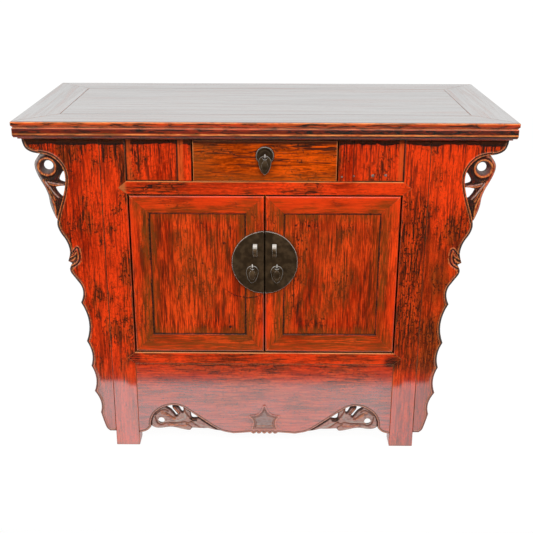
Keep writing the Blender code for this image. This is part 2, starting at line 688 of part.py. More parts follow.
def make_drawer():
    """Front, sides, back and bottom of the drawer, carried on its slide."""
    front_ys = (BODY_FRONT, BODY_FRONT + DRAWER_FRONT_THICKNESS)
    front_zs = (DRAWER_RAIL_TOP + 2 * FIT, UNDERSIDE - DRAWER_HEADROOM)
    front = box("drawer_front", (-DRAWER_HALF_WIDTH, DRAWER_HALF_WIDTH), front_ys, front_zs, AMBER)
    ease(front, POST_EASE)
    back_end = BODY_FRONT + DRAWER_LENGTH
    side_zs = (DRAWER_RAIL_TOP + FIT, front_zs[1] - DRAWER_SIDE_DROP)
    inner = DRAWER_HALF_WIDTH - DRAWER_SIDE_THICKNESS
    sides = []
    for name, side in SIDES:
        sides.append(housed_panel(
            "drawer_side_" + name,
            (side * inner, side * DRAWER_HALF_WIDTH),
            (front_ys[1] - DRAWER_HOUSING, back_end),
            side_zs,
            BARE,
            [front],
        ))
    housed = inner + DRAWER_HOUSING
    back_front = back_end - 2 * DRAWER_SIDE_THICKNESS
    back_ys = (back_front, back_front + DRAWER_SIDE_THICKNESS)
    back = housed_panel("drawer_back", (-housed, housed), back_ys, side_zs, BARE, sides)
    bottom_low = side_zs[0] + DRAWER_BOTTOM_RISE
    bottom = housed_panel(
        "drawer_bottom",
        (-housed, housed),
        (front_ys[1] - DRAWER_HOUSING, back_ys[0] + DRAWER_HOUSING),
        (bottom_low, bottom_low + DRAWER_BOTTOM_THICKNESS),
        BARE,
        [front, back, *sides],
    )
    return front, [front, back, bottom, *sides]


def wing_outline(side):
    """The scalloped edge from the tip under the top down to the foot, closed along the post."""
    def spot(reach, height):
        return side * (POST_OUTER + FIT + reach), height

    def dropped(points):
        return [spot(reach, UNDERSIDE - FIT - drop) for reach, drop in points]

    first = UNDERSIDE - WING_FIRST_CUSP_DROP
    fall = first - WING_CLEARANCE
    levels = [first - share * fall for share in WING_CUSP_SHARES]
    cusps = [spot(reach, level) for reach, level in zip(WING_CUSP_REACHES, levels)]
    path = smooth(dropped(((WING_REACH - FIT, 0.0), *WING_EDGE)))
    lobe = dropped(WING_LOBE)
    path += smooth(lobe)[:-1]
    path += hollow(lobe[-1], dropped([WING_HOLLOW_ABOVE])[0], cusps[0])
    for index, reach in enumerate(WING_HOLLOW_REACHES):
        deepest = spot(reach, (levels[index] + levels[index + 1]) / 2)
        path += hollow(cusps[index], deepest, cusps[index + 1])
    foot = [spot(reach, WING_CLEARANCE + rise) for reach, rise in WING_FOOT]
    path += smooth([cusps[-1], *foot])
    path.append(spot(0.0, WING_CLEARANCE))
    path.append(spot(0.0, UNDERSIDE - FIT))
    return path


def make_wing(name, side, post):
    """A scalloped board tongued to the post, with a pierced scroll carved in lower relief."""
    back = BODY_FRONT + WING_THICKNESS
    wing = front_plate("wing_" + name, [wing_outline(side)], BODY_FRONT, back, RED)

    def dropped(points):
        return [(side * (POST_OUTER + reach), UNDERSIDE - drop) for reach, drop in points]

    leaf = smooth(dropped(SCROLL_LEAF)) + dropped(SCROLL_ROOT)
    gaps = [smooth(dropped(gap), closed=True) for gap in SCROLL_GAPS]
    relief_front = BODY_FRONT + SCROLL_RELIEF
    relief_back = back - SCROLL_RELIEF
    join(wing, front_plate("wing_scroll_" + name, [leaf, *gaps], relief_front, relief_back))
    cut(wing, eye_funnel(
        "wing_eye_" + name, dropped([SCROLL_EYE])[0], relief_front, relief_back,
        SCROLL_EYE_FRONT_RADIUS, SCROLL_EYE_BACK_RADIUS,
    ))
    xs = (side * (POST_OUTER - WING_TONGUE), side * (POST_OUTER + WING_TONGUE))
    zs = (WING_CLEARANCE + WING_TONGUE, UNDERSIDE - WING_TONGUE)
    tenon(wing, post, xs, middle_third(BODY_FRONT, back), zs)


def eye_funnel(name, centre, front, back, front_radius, back_radius):
    """A tapered hole through a carved scroll, wide at the front."""
    depth = back - front
    slope = (front_radius - back_radius) / depth
    matrix = Matrix.Translation((centre[0], (front + back) / 2, centre[1])) @ FACING_FRONT
    wide = front_radius + slope * OVERCUT
    slim = back_radius - slope * OVERCUT
    return rod(name, slim, wide, depth + 2 * OVERCUT, matrix)


def apron_spots(points, side):
    """Places drawn points on the left or right half, stretched to the real span."""
    return [
        (side * (APRON_HALF_SPAN - APRON_STRETCH * run), APRON_CLEARANCE + rise)
        for run, rise in points
    ]


def fringe():
    """Small lobes along the middle of the apron's lower edge, whose notches deepen toward the centre."""
    notches = []
    for index in range(FRINGE_LOBES + 1):
        share = 2 * index / FRINGE_LOBES - 1
        rise = FRINGE_RISE + FRINGE_CROWN * (1 - share * share)
        notches.append((share * APRON_STRETCH * FRINGE_HALF_WIDTH, APRON_CLEARANCE + rise))
    path = []
    for start, end in zip(notches, notches[1:]):
        path += hollow(start, ((start[0] + end[0]) / 2, APRON_CLEARANCE), end)
    path.append(notches[-1])
    return path


def apron_outline():
    left = smooth(apron_spots(APRON_BRACKET, -1))[:-1] + smooth(apron_spots(APRON_ARCH, -1))
    right = [(-across, up) for across, up in reversed(left)]
    return [(-APRON_HALF_SPAN, APRON_TOP), *left, *fringe(), *right, (APRON_HALF_SPAN, APRON_TOP)]


def star(share):
    """A five-pointed shield with drawn-in sides, scaled about its centre."""
    right = smooth([(0.0, STAR_PEAK), *STAR_SHOULDER]) + smooth(STAR_FLANK)
    left = [(-across, up) for across, up in reversed(right[1:])]
    return [
        (share * across, APRON_CLEARANCE + STAR_CENTRE + share * (up - STAR_CENTRE))
        for across, up in right + left
    ]


def make_apron(posts):
    """A board between the front posts with pierced leaf scrolls, a lobed fringe and an incised star."""
    back = BODY_FRONT + APRON_THICKNESS
    apron = front_plate("apron", [apron_outline()], BODY_FRONT, back, RED)
    relief_front = BODY_FRONT + SCROLL_RELIEF
    relief_back = back - SCROLL_RELIEF
    for name, side in SIDES:
        leaf = smooth(apron_spots(APRON_LEAF, side)) + apron_spots(APRON_LEAF_ROOT, side)
        gaps = [smooth(apron_spots(gap, side), closed=True) for gap in APRON_GAPS]
        join(apron, front_plate("apron_scroll_" + name, [leaf, *gaps], relief_front, relief_back))
        cut(apron, eye_funnel(
            "apron_eye_" + name, apron_spots([APRON_EYE], side)[0], relief_front, relief_back,
            APRON_EYE_FRONT_RADIUS, APRON_EYE_BACK_RADIUS,
        ))
    groove_back = BODY_FRONT + STAR_GROOVE_DEPTH
    cut(apron, front_plate("apron_star", [star(1.0), star(STAR_INNER_SHARE)], BODY_FRONT - OVERCUT, groove_back))
    zs = (APRON_CLEARANCE + APRON_TONGUE_MARGIN, APRON_TOP - APRON_TONGUE)
    ys = middle_third(BODY_FRONT, back)
    for name, side in SIDES:
        xs = (side * (POST_INNER - APRON_TONGUE), side * (POST_INNER + APRON_TONGUE))
        tenon(apron, posts["front", name], xs, ys, zs)


def door_section():
    face = DOOR_THICKNESS
    lip = face - DOOR_COVE_DEPTH
    cove = hollow(
        (DOOR_FRAME_WIDTH, lip),
        (DOOR_FRAME_WIDTH - DOOR_COVE_SAG[0] * DOOR_COVE_WIDTH, lip + DOOR_COVE_SAG[1] * DOOR_COVE_DEPTH),
        (DOOR_FRAME_WIDTH - DOOR_COVE_WIDTH, face),
        CURVE_STEPS,
    )
    return [
        (0.0, 0.0),
        (DOOR_FRAME_WIDTH, 0.0),
        *cove,
        (DOOR_FRAME_WIDTH - DOOR_COVE_WIDTH, face),
        (DOOR_ARRIS, face),
        (0.0, face - DOOR_ARRIS),
    ]


def make_door(name, side, drawer_rail, door_rail):
    """A mitred frame with a housed panel; the hinge stile carries the pivots. Returns the pieces."""
    width = DOOR_OUTER - DOOR_MEETING
    height = DOOR_TOP - DOOR_BOTTOM
    centre = Vector((side * (DOOR_OUTER + DOOR_MEETING) / 2, DOOR_BACK, (DOOR_TOP + DOOR_BOTTOM) / 2))
    stile_names = ("hinge_stile", "meeting_stile") if side < 0 else ("meeting_stile", "hinge_stile")
    section = door_section()
    frame = {}
    for turn, member in enumerate(("bottom_rail", stile_names[0], "top_rail", stile_names[1])):
        length, span = (width, height) if turn % 2 == 0 else (height, width)
        matrix = Matrix.Translation(centre) @ Matrix.Rotation(turn * QUARTER, 4, "Y")
        matrix = matrix @ Matrix.Translation((0.0, 0.0, -span / 2)) @ STANDING_BAR
        frame[member] = mitred_bar(f"door_{name}_{member}", section, length, matrix, RED)
    tenon_ys = middle_third(BODY_FRONT + PIVOT_INSET, DOOR_BACK)
    third = DOOR_FRAME_WIDTH / 3
    for rail, edge, inward in (("bottom_rail", DOOR_BOTTOM, 1), ("top_rail", DOOR_TOP, -1)):
        zs = (edge + inward * third, edge + inward * 2 * third)
        for stile, outer, inner in (
            ("hinge_stile", DOOR_OUTER, -1), ("meeting_stile", DOOR_MEETING, 1),
        ):
            xs = (side * (outer + inner * DOOR_TENON_STOP), side * (outer + inner * DOOR_FRAME_WIDTH))
            tenon(frame[rail], frame[stile], xs, tenon_ys, zs)
    panel_front = BODY_FRONT + DOOR_PANEL_RECESS
    rim = DOOR_FRAME_WIDTH - PANEL_HOUSING
    panel = housed_panel(
        f"door_{name}_panel",
        (side * (DOOR_OUTER - rim), side * (DOOR_MEETING + rim)),
        (panel_front, panel_front + PANEL_THICKNESS),
        (DOOR_BOTTOM + rim, DOOR_TOP - rim),
        RED,
        list(frame.values()),
    )
    for edge, outward, own_rail, housing in (
        (DOOR_TOP, 1, "top_rail", drawer_rail), (DOOR_BOTTOM, -1, "bottom_rail", door_rail),
    ):
        make_pivot(name, side, edge, outward, frame["hinge_stile"], frame[own_rail], housing)
    return frame["meeting_stile"], [*frame.values(), panel]


def make_pivot(name, side, edge, outward, stile, own_rail, housing):
    """A round pin on the hinge stile that passes the mitred rail and turns in a socket of the front rail."""
    root = edge - outward * PIVOT_ROOT
    tip = edge + outward * (DOOR_GAP + PIVOT_LENGTH)
    matrix = Matrix.Translation((side * PIVOT_X, PIVOT_Y, (root + tip) / 2))
    join(stile, rod(f"pivot_{name}", PIVOT_RADIUS, PIVOT_RADIUS, abs(tip - root), matrix))
    hole = PIVOT_RADIUS + FIT
    root_end = abs(tip - root) + 2 * FIT
    cut(own_rail, rod(f"pivot_hole_{name}", hole, hole, root_end, matrix))
    socket = PIVOT_RADIUS + PIVOT_CLEARANCE
    cut(housing, rod(f"pivot_socket_{name}", socket, socket, root_end, matrix))


def make_lock_plate(name, side):
    """Half of the round plate, split where the doors meet."""
    flat = DOOR_MEETING
    limit = math.asin(flat / LOCK_RADIUS)
    outline = []
    for step in range(LOCK_STEPS + 1):
        angle = limit + (math.pi - 2 * limit) * step / LOCK_STEPS
        outline.append((side * LOCK_RADIUS * math.sin(angle), LOCK_HEIGHT + LOCK_RADIUS * math.cos(angle)))
    back = BODY_FRONT - FIT
    plate = front_plate("lock_plate_" + name, [outline], back - PLATE_THICKNESS, back, BRONZE)
    return ease(plate, PLATE_BEVEL)


def make_staple(name, side, plate, stile):
    """A strap bent out into a loop for the lock bolt, with its two legs nailed through plate and stile."""
    half = STAPLE_TALL / 2
    inner_half = half - STAPLE_STRAP

    def arch(radius, depth):
        """Half an oval that bulges forward, from the lower to the upper leg."""
        path = []
        for step in range(ARCH_STEPS + 1):
            angle = math.pi * step / ARCH_STEPS
            path.append((PLATE_FRONT - depth * math.sin(angle), STAPLE_HEIGHT - radius * math.cos(angle)))
        return path

    outer = [(NAIL_END, STAPLE_HEIGHT - half), *arch(half, STAPLE_REACH), (NAIL_END, STAPLE_HEIGHT + half)]
    inner = [
        (NAIL_END, STAPLE_HEIGHT - inner_half),
        *arch(inner_half, STAPLE_REACH - STAPLE_STRAP),
        (NAIL_END, STAPLE_HEIGHT + inner_half),
    ]
    matrix = Matrix.Translation((side * STAPLE_OFFSET, 0.0, 0.0)) @ LYING_BAR
    staple = extruded("lock_staple_" + name, [outer + inner[::-1]], STAPLE_WIDE, matrix, BRONZE)
    xs = (side * STAPLE_OFFSET - STAPLE_WIDE / 2, side * STAPLE_OFFSET + STAPLE_WIDE / 2)
    for upward in (-1, 1):
        zs = (STAPLE_HEIGHT + upward * inner_half, STAPLE_HEIGHT + upward * half)
        slot = box("staple_slot_" + name, xs, (PLATE_FRONT - OVERCUT, NAIL_END), zs, margin=FIT)
        cut(plate, slot)
        cut(stile, slot)
    return staple


def make_pull(name, centre_x, height, plate, wood):
    """An eye nailed through its plate and a leaf-shaped pendant that hangs in it; returns both."""
    ring_radius = EYE_CLEAR + EYE_WIRE
    hang = PLATE_FRONT - EYE_STANDOFF - ring_radius - EYE_WIRE
    centre = Vector((centre_x, hang, height))
    bpy.ops.mesh.primitive_torus_add(
        major_radius=ring_radius,
        minor_radius=EYE_WIRE,
        major_segments=RING_SEGMENTS,
        minor_segments=WIRE_SEGMENTS,
    )
    ring = bpy.context.active_object
    mesh = ring.data
    bpy.data.objects.remove(ring)
    eye = place(name + "_eye", mesh, BRONZE, Matrix.Translation(centre) @ Matrix.Rotation(QUARTER, 4, "Y"))
    neck = hang + ring_radius
    stem_matrix = Matrix.Translation((centre_x, (neck + NAIL_END) / 2, height)) @ FACING_FRONT
    join(eye, rod(name + "_stem", EYE_WIRE, EYE_WIRE, NAIL_END - neck, stem_matrix, sides=STEM_SIDES))
    hole = EYE_WIRE + FIT
    bore = rod(name + "_bore", hole, hole, NAIL_END - neck + 2 * FIT, stem_matrix, sides=STEM_SIDES)
    cut(wood, bore)
    cut(plate, bore)
    return eye, make_pendant(name, centre)


def make_pendant(name, centre):
    half_rim = PULL_RIM / 2
    right = smooth([(0.0, half_rim), *PULL_HALF_OUTLINE, (0.0, -PULL_LENGTH)])
    outline = right + [(-across, up) for across, up in reversed(right[1:-1])]
    hole_middle = -half_rim - PULL_HOLE_HEIGHT / 2
    hole = []
    for step in range(HOLE_STEPS):
        angle = 2 * math.pi * step / HOLE_STEPS
        hole.append((
            PULL_HOLE_HALF_WIDTH * math.cos(angle),
            hole_middle + PULL_HOLE_HEIGHT / 2 * math.sin(angle),
        ))
    matrix = Matrix.Translation(centre) @ FACING_FRONT
    pendant = extruded(name, [outline, hole], PULL_THICKNESS, matrix, BRONZE)
    swell_mesh = bpy.data.meshes.new(name + "_swell")
    shape = bmesh.new()
    bmesh.ops.create_uvsphere(shape, u_segments=RING_SEGMENTS, v_segments=WIRE_SEGMENTS, radius=1.0)
    shape.transform(Matrix.Diagonal((*PULL_SWELL, 1.0)))
    shape.to_mesh(swell_mesh)
    shape.free()
    swell_at = Matrix.Translation(centre - Vector((0.0, 0.0, PULL_SWELL_DROP)))
    join(pendant, place(name + "_swell", swell_mesh, None, swell_at))
    return pendant


def make_drawer_plate(height):
    """A small turned rosette behind the drawer pull."""
    bore = EYE_WIRE + FIT
    rings = [(across * DRAWER_PLATE_RADIUS, rise * PLATE_THICKNESS) for across, rise in DRAWER_PLATE_SHARES]
    profile = [(bore, PLATE_THICKNESS), *rings, (bore, 0.0)]
    mesh = bpy.data.meshes.new("drawer_pull_plate")
    shape = bmesh.new()
    corners = [shape.verts.new((radius, 0.0, rise)) for radius, rise in profile]
    for start, end in zip(corners, corners[1:] + corners[:1]):
        shape.edges.new((start, end))
    shape.to_mesh(mesh)
    shape.free()
    matrix = Matrix.Translation((0.0, BODY_FRONT - FIT, height)) @ FACING_FRONT
    plate = place("drawer_pull_plate", mesh, BRONZE, matrix)
    turn = plate.modifiers.new("turn", "SCREW")
    turn.steps = TURN_STEPS
    turn.render_steps = TURN_STEPS
    turn.use_merge_vertices = True
    turn.merge_threshold = WELD
    return plate


def make_door_hardware(name, side, stile):
    """Lock plate, staple and pull of one door; returns the fixed pieces and the pendant."""
    plate = make_lock_plate(name, side)
    staple = make_staple(name, side, plate, stile)
    eye, pendant = make_pull(f"door_pull_{name}", side * PULL_OFFSET, PULL_HEIGHT, plate, stile)
    return [plate, staple, eye], pendant


def build():
    top_front, top_back = make_top()
    posts = make_posts(top_front, top_back)
    drawer_rail = make_pointed_rail("drawer_rail", DRAWER_RAIL_BOTTOM, DRAWER_RAIL_TOP, posts)
    door_rail = make_pointed_rail("door_rail", DOOR_RAIL_BOTTOM, DOOR_RAIL_TOP, posts)
    side_rails = [make_side(name, side, posts) for name, side in SIDES]
    back_middle, back_lower = make_back(posts)
    make_floor(door_rail, back_lower, side_rails)
    for name, side in SIDES:
        make_divider(name, side, drawer_rail, top_front, posts["front", name])
        make_runner(name, side, drawer_rail, back_middle)
        make_wing(name, side, posts["front", name])
    make_apron(posts)

    front, drawer = make_drawer()
    pull_height = UNDERSIDE - DRAWER_PULL_DROP
    plate = make_drawer_plate(pull_height)
    eye, pendant = make_pull("drawer_pull", 0.0, pull_height, plate, front)
    slide = axis("drawer_slide", (0.0, BODY_FRONT, DRAWER_RAIL_TOP), [*drawer, plate, eye])
    hang_pendant("drawer_pull_swing", pendant, slide)

    for name, side in SIDES:
        stile, pieces = make_door(name, side, drawer_rail, door_rail)
        fixed, pendant = make_door_hardware(name, side, stile)
        swing = axis(f"door_{name}_swing", (side * PIVOT_X, PIVOT_Y, DOOR_BOTTOM), [*pieces, *fixed])
        hang_pendant(f"door_pull_{name}_swing", pendant, swing)


def hang_pendant(name, pendant, carrier):
    """Hangs a pendant on its own axis, which moves with the door or drawer that carries it."""
    hinge = axis(name, pendant.matrix_world.translation.copy(), [pendant])
    hinge.parent = carrier
    hinge.matrix_parent_inverse = carrier.matrix_world.inverted()


build()
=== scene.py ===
"""Dresses the altar cabinet with its lacquer, carving and hardware, and sets it on a plain pale stage."""

import json
import math

import bmesh
import bpy
import numpy as np
from mathutils import Matrix, Vector
from mathutils.geometry import delaunay_2d_cdt


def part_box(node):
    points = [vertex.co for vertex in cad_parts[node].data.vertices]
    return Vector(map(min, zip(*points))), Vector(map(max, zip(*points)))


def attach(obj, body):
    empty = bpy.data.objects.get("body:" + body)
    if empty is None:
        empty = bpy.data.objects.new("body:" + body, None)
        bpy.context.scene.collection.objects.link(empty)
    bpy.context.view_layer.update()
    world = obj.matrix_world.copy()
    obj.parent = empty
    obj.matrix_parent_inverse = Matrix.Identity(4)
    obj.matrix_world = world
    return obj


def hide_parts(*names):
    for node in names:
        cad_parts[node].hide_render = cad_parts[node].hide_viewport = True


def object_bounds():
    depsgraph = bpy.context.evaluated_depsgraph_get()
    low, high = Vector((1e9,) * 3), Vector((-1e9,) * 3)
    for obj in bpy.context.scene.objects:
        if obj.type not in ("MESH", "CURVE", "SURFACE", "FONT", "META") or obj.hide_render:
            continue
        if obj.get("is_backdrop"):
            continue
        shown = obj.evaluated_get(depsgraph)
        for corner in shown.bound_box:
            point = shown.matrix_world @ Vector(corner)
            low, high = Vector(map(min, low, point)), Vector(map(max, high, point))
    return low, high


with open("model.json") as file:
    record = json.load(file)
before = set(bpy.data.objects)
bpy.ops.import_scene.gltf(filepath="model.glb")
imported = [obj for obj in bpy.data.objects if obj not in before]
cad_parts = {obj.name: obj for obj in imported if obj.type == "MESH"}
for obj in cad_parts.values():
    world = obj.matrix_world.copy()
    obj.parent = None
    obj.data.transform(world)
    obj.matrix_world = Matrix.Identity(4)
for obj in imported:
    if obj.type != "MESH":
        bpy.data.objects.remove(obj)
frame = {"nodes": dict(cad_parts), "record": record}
CAD_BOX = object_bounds()

bl_info = {
    "name": "Altar Cabinet Finish",
    "version": (1, 0, 0),
    "blender": (4, 5, 0),
    "location": "View3D > Sidebar > Cabinet",
    "description": "Lacquer, carving, hardware and stage for a red altar cabinet",
    "category": "Object",
}

NODE_BODY = {
    node: body for body, nodes in frame["record"]["behaviour"]["bodies"].items() for node in nodes
}
NODE_SLOT = {part["node"]: part["material_slot"] for part in frame["record"]["subparts"]}
SIDES = (("left", -1), ("right", 1))
MM = 0.001
TOUCH = 0.00002

# Planes read from the model: the body's face, the carved reliefs, the joints of wings, rails and doors
RELIEF_DROP = 4 * MM
STAR_DROP = 2 * MM
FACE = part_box("wing_left")[0].y
RELIEF_FACE = FACE + RELIEF_DROP
WING_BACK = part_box("wing_left")[1].y
SCROLL_BACK = WING_BACK - RELIEF_DROP
APRON_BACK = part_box("apron")[1].y
LEAF_BACK = APRON_BACK - RELIEF_DROP
POST_INNER, POST_OUTER = (corner.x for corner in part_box("post_front_right"))
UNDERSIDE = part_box("wing_left")[1].z
FRIEZE_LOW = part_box("drawer_rail")[1].z
RAIL_LOW, RAIL_TOP = (corner.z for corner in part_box("door_rail"))
DOOR_OUTER, DOOR_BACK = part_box("door_right_hinge_stile")[1].xy
DOOR_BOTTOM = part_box("door_right_bottom_rail")[0].z
DOOR_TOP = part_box("door_right_top_rail")[1].z
DOOR_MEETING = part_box("door_right_meeting_stile")[0].x
DOOR_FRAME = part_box("door_right_meeting_stile")[1].x - DOOR_MEETING

# A door's frame falls in one hollow sweep from its arris to its panel, steeper at first
DOOR_ARRIS = 2.5 * MM
DISH_DEPTH = 5.5 * MM
DISH_LEAN = 0.4
DISH_STEPS = 9

# Boards: arrises sharper than this angle and longer than so many eases are rounded
ARRIS_ANGLE = math.radians(40)
ARRIS_EASES = 30
SHARP_ANGLE = math.radians(38)
FLAT_ANGLE = math.radians(0.5)
PIVOT_SIDES = 24

# Zones of wear and of painted shade on the front: along what, where each starts and where it is full, in
# metres
ZONES = {
    "left_post": (("across", -0.316, -0.330), ("across", -0.44, -0.38)),
    "fresh": (("across", 0.19, 0.24), ("up", 0.56, 0.70)),
    "low": (("up", 0.26, 0.17),),
    "right_post": (("across", 0.41, 0.36), ("up", 0.72, 0.62)),
    "right_low": (("up", 0.40, 0.33),),
    "right_side": (("across", 0.316, 0.330), ("up", 0.19, 0.24)),
    "right_wing": (("across", 0.35, 0.40), ("up", 0.64, 0.46), ("up", 0.19, 0.24)),
    "soft_flecks": (("up", 0.33, 0.24),),
    "foot": (("up", 0.22, 0.14),),
    "beside_post": (("outward", POST_OUTER - 0.002, POST_OUTER),),
    "grime_runs": (("up", UNDERSIDE - 0.060, UNDERSIDE - 0.008),),
    "below_top": (("up", UNDERSIDE + 0.002, UNDERSIDE),),
    "above_feet": (("up", 0.23, 0.30),),
    "dull_right": (("across", 0.27, 0.37),),
    "frieze": (("up", FRIEZE_LOW, FRIEZE_LOW + MM),),
    "rail_point": (("across", -POST_INNER + 2 * MM, -POST_INNER - 9 * MM), ("up", DOOR_BOTTOM, DOOR_TOP)),
    "drawer_left": (("across", -0.08, -0.17),),
    "drawer_foot": (("up", FRIEZE_LOW + 0.032, FRIEZE_LOW + 0.006),),
    "door_outer": (("outward", 0.19, 0.27), ("inset", DOOR_FRAME, DOOR_FRAME + 0.004)),
    "door_head": (("up", DOOR_TOP - 0.050, DOOR_TOP - 0.030),),
    "door_below_head": (("up", DOOR_TOP, DOOR_TOP - 0.060),),
    "door_foot": (("up", DOOR_BOTTOM + 0.055, DOOR_BOTTOM + 0.020),),
    "door_rim": (("inset", 0.024, 0.008),),
    "door_arris": (("inset", 0.010, 0.006),),
    "door_hollow": (("inset", 0.012, 0.036), ("inset", 0.075, 0.046)),
    "door_panel": (("inset", 0.078, 0.090),),
    "door_corner": (("along", 0.085, 0.035), ("inset", 0.002, 0.016)),
    "scratch": (("up", 0.440, 0.425),),
    "sooty_edge": (("across", -0.15, 0.25),),
    "upper_edge": (("up", CAD_BOX[1].z - 0.0155, CAD_BOX[1].z - 0.0125),),
    "top_back": (("deep", CAD_BOX[0].y, CAD_BOX[1].y),),
}

# The ragged lower edge of the painted shadow below the top's overhang, and how deep the relief of each finish
# is, in metres
TOP_SHADOW_EDGE = (UNDERSIDE - 0.0155, UNDERSIDE - 0.0130)
GRAIN_DEPTH = {"lacquer": 0.00025, "top": 0.00018, "wood": 0.0005, "bronze": 0.00018, "iron": 0.0002}
# How far dirt reaches out of the top's seams, and how far bronze and iron are rubbed from an edge; the
# bronze's rubbed edges are partly a painted highlight
TOP_SEAM = 0.006
BRONZE_EDGE, IRON_EDGE = 0.0014, 0.0005
# A plate is rubbed bright, partly as a painted highlight, between these distances from its rim, in
# millimetres
PLATE_RIM = (4, 2)
# Knots on the doors, and a scratch as part of a ring: across, up and radius in millimetres
KNOTS = (
    (-97, 552, 5.5), (-150, 500, 3.5), (-85, 333, 5.0), (75, 597, 4.5), (105, 596, 4.5), (100, 538, 4.0),
)
SCRATCH = (-44, 487, 75)
# Half widths over which a line fades out, in metres: the seam round a panel, the scratch, a joint, a ledge
PANEL_SEAM = (0.0032, 0.0012)
SCRATCH_LINE = (0.0026, 0.0008)
JOINT_LINE = (0.0030, 0.0010)
LEDGE_LINE = (1.8 * MM, 0.8 * MM)
LEDGE_DROP = 0.8 * MM
# Orange strips in the frieze with how far their edges fade out and in, and its joints
FRIEZE_STRIPS = ((-323, -311), (-202, -190), (311, 323))
STRIP_OUT, STRIP_IN = 4, 1
FRIEZE_JOINTS = (-POST_INNER, -203 * MM, POST_INNER)
# A peg in the rail, and nails: across, up and radius in millimetres
PEG = (-268, 693, 4.4)
NAILS = ((179, 718, 2.2), (207, 719, 2.2), (251, 720, 3.8), (281, 721, 3.3))
NAIL_HEIGHT = 0.9 * MM
NAIL_SIDES = 12
NAIL_RINGS = (1.0, 0.8, 0.5, 0.2)
# Dark stains at the ends of the rail below the doors: across, how far above its middle, and radius
STAINS = ((-325, 0, 24), (316, -10, 27))
RAIL_MIDDLE = (RAIL_LOW + RAIL_TOP) / 2 / MM

# Dark bands along the top's edge, partly dark lacquer and partly painted shadow, and pale lines, partly
# rubbed wear and partly painted highlight: millimetres below the top, half width, and share
EDGE_DARK_AND_SHADOW_BANDS = ((8.0, 4.0, 0.45), (22.5, 7.0, 0.90), (32.8, 2.8, 0.95), (36.0, 2.5, 0.65))
EDGE_WEAR_AND_HIGHLIGHT_LINES = ((1.0, 3.4, 0.90), (14.8, 2.4, 0.60), (29.4, 2.4, 0.90))

# Carved edges in millimetres: distance from the edge, height, then shares of black, rubbing and grey; the
# black is dirt with painted shade, the grey is dust with painted highlight and pale reflection
FREE_EDGE = (
    (0.0, -3.0, 1.0, 0.0, 0.0), (1.0, -1.5, 1.0, 0.0, 0.1), (2.4, -0.7, 1.0, 0.0, 0.25),
    (3.8, -0.4, 1.0, 0.0, 0.0), (4.8, 0.1, 0.75, 0.0, 0.0), (5.6, 0.7, 0.0, 0.70, 0.0),
    (6.8, 0.6, 0.0, 0.60, 0.0), (7.8, -0.3, 0.45, 0.0, 0.0), (9.4, 0.0, 0.0, 0.0, 0.0),
)
HOLLOW_EDGE = (
    (0.0, -0.8, 0.1, 0.9, 0.0), (0.9, 0.4, 0.0, 1.0, 0.0), (1.9, 0.2, 0.0, 0.9, 0.0),
    (2.8, -0.9, 1.0, 0.0, 0.0), (4.6, -0.9, 1.0, 0.0, 0.0), (5.9, -0.2, 0.9, 0.0, 0.0),
    (6.8, 0.5, 0.0, 0.75, 0.0), (7.8, 0.2, 0.0, 0.2, 0.0), (9.4, 0.0, 0.0, 0.0, 0.0),
)
SCROLL_EDGE = (
    (0.0, -4.2, 0.8, 0.0, 0.6), (1.0, -2.4, 0.5, 0.0, 0.9), (2.6, -0.8, 0.5, 0.0, 1.0),
    (4.6, 0.2, 0.6, 0.0, 0.9), (6.6, 0.3, 0.9, 0.0, 0.3), (9.4, 0.0, 0.97, 0.0, 0.0),
)
# The right scroll has kept more of its red
RED_SCROLL_EDGE = (
    (0.0, -4.2, 0.9, 0.0, 0.2), (1.0, -2.4, 0.5, 0.1, 0.25), (2.6, -0.8, 0.1, 0.45, 0.1),
    (4.6, 0.2, 0.2, 0.30, 0.1), (6.6, 0.3, 0.8, 0.0, 0.0), (9.4, 0.0, 0.9, 0.0, 0.0),
)
APRON_EDGE = (
    (0.0, -1.8, 0.75, 0.0, 0.1), (1.0, -0.5, 0.50, 0.1, 0.2), (2.0, 0.7, 0.1, 0.25, 0.55),
    (3.4, 0.6, 0.1, 0.20, 0.5), (4.4, -0.7, 0.60, 0.0, 0.1), (6.0, -0.6, 0.50, 0.0, 0.1),
    (7.2, 0.1, 0.1, 0.15, 0.1), (8.6, 0.0, 0.0, 0.0, 0.0),
)
LEAF_EDGE = (
    (0.0, -3.4, 0.70, 0.0, 0.1), (1.0, -1.6, 0.45, 0.0, 0.3), (2.3, -0.2, 0.20, 0.0, 0.55),
    (3.8, 0.5, 0.1, 0.1, 0.80), (6.0, 0.3, 0.15, 0.15, 0.65), (9.4, 0.0, 0.35, 0.15, 0.40),
)
# Height, black, rubbing and grey of a plain board, of the scrolls, black as painted shade deep in the relief,
# and of the worn leaves, whose grey is dust with a painted pale reflection
PLAIN, SHADED_SCROLL, DUST_AND_SHEEN_LEAF = (0, 0, 0, 0), (0, 0.97, 0, 0), (0, 0.4, 0.15, 0.35)
# Black, rubbing and grey on the walls of a pierced gap and in a funnel, the black painted shade, and the grey
# of a painted highlight on a funnel's lower, upward-facing side
WALL_PAINT = (0.85, 0.0, 0.10)
FUNNEL_PAINT, FUNNEL_HIGHLIGHT = (0.85, 0.0, 0.15), 0.6
# Between these heights a wing's edge follows the pierced hollow
HOLLOW_SPAN = (609, 771)
# Over these heights a wing's rubbed bead fades down to a grey that is partly dust and partly a painted pale
# reflection, and keeps these shares at the foot
WING_FOOT = (130.0, 260.0)
FOOT_SOOT, FOOT_RUBBING, FOOT_DUST_AND_SHEEN = 0.55, 0.25, 0.8
# A second line runs outside the star at this distance, down to its foot
STAR_LINE, STAR_FOOT = 5.4, 52.0
STAR_RIM, STAR_LINE_HALF = 2.4, 1.6
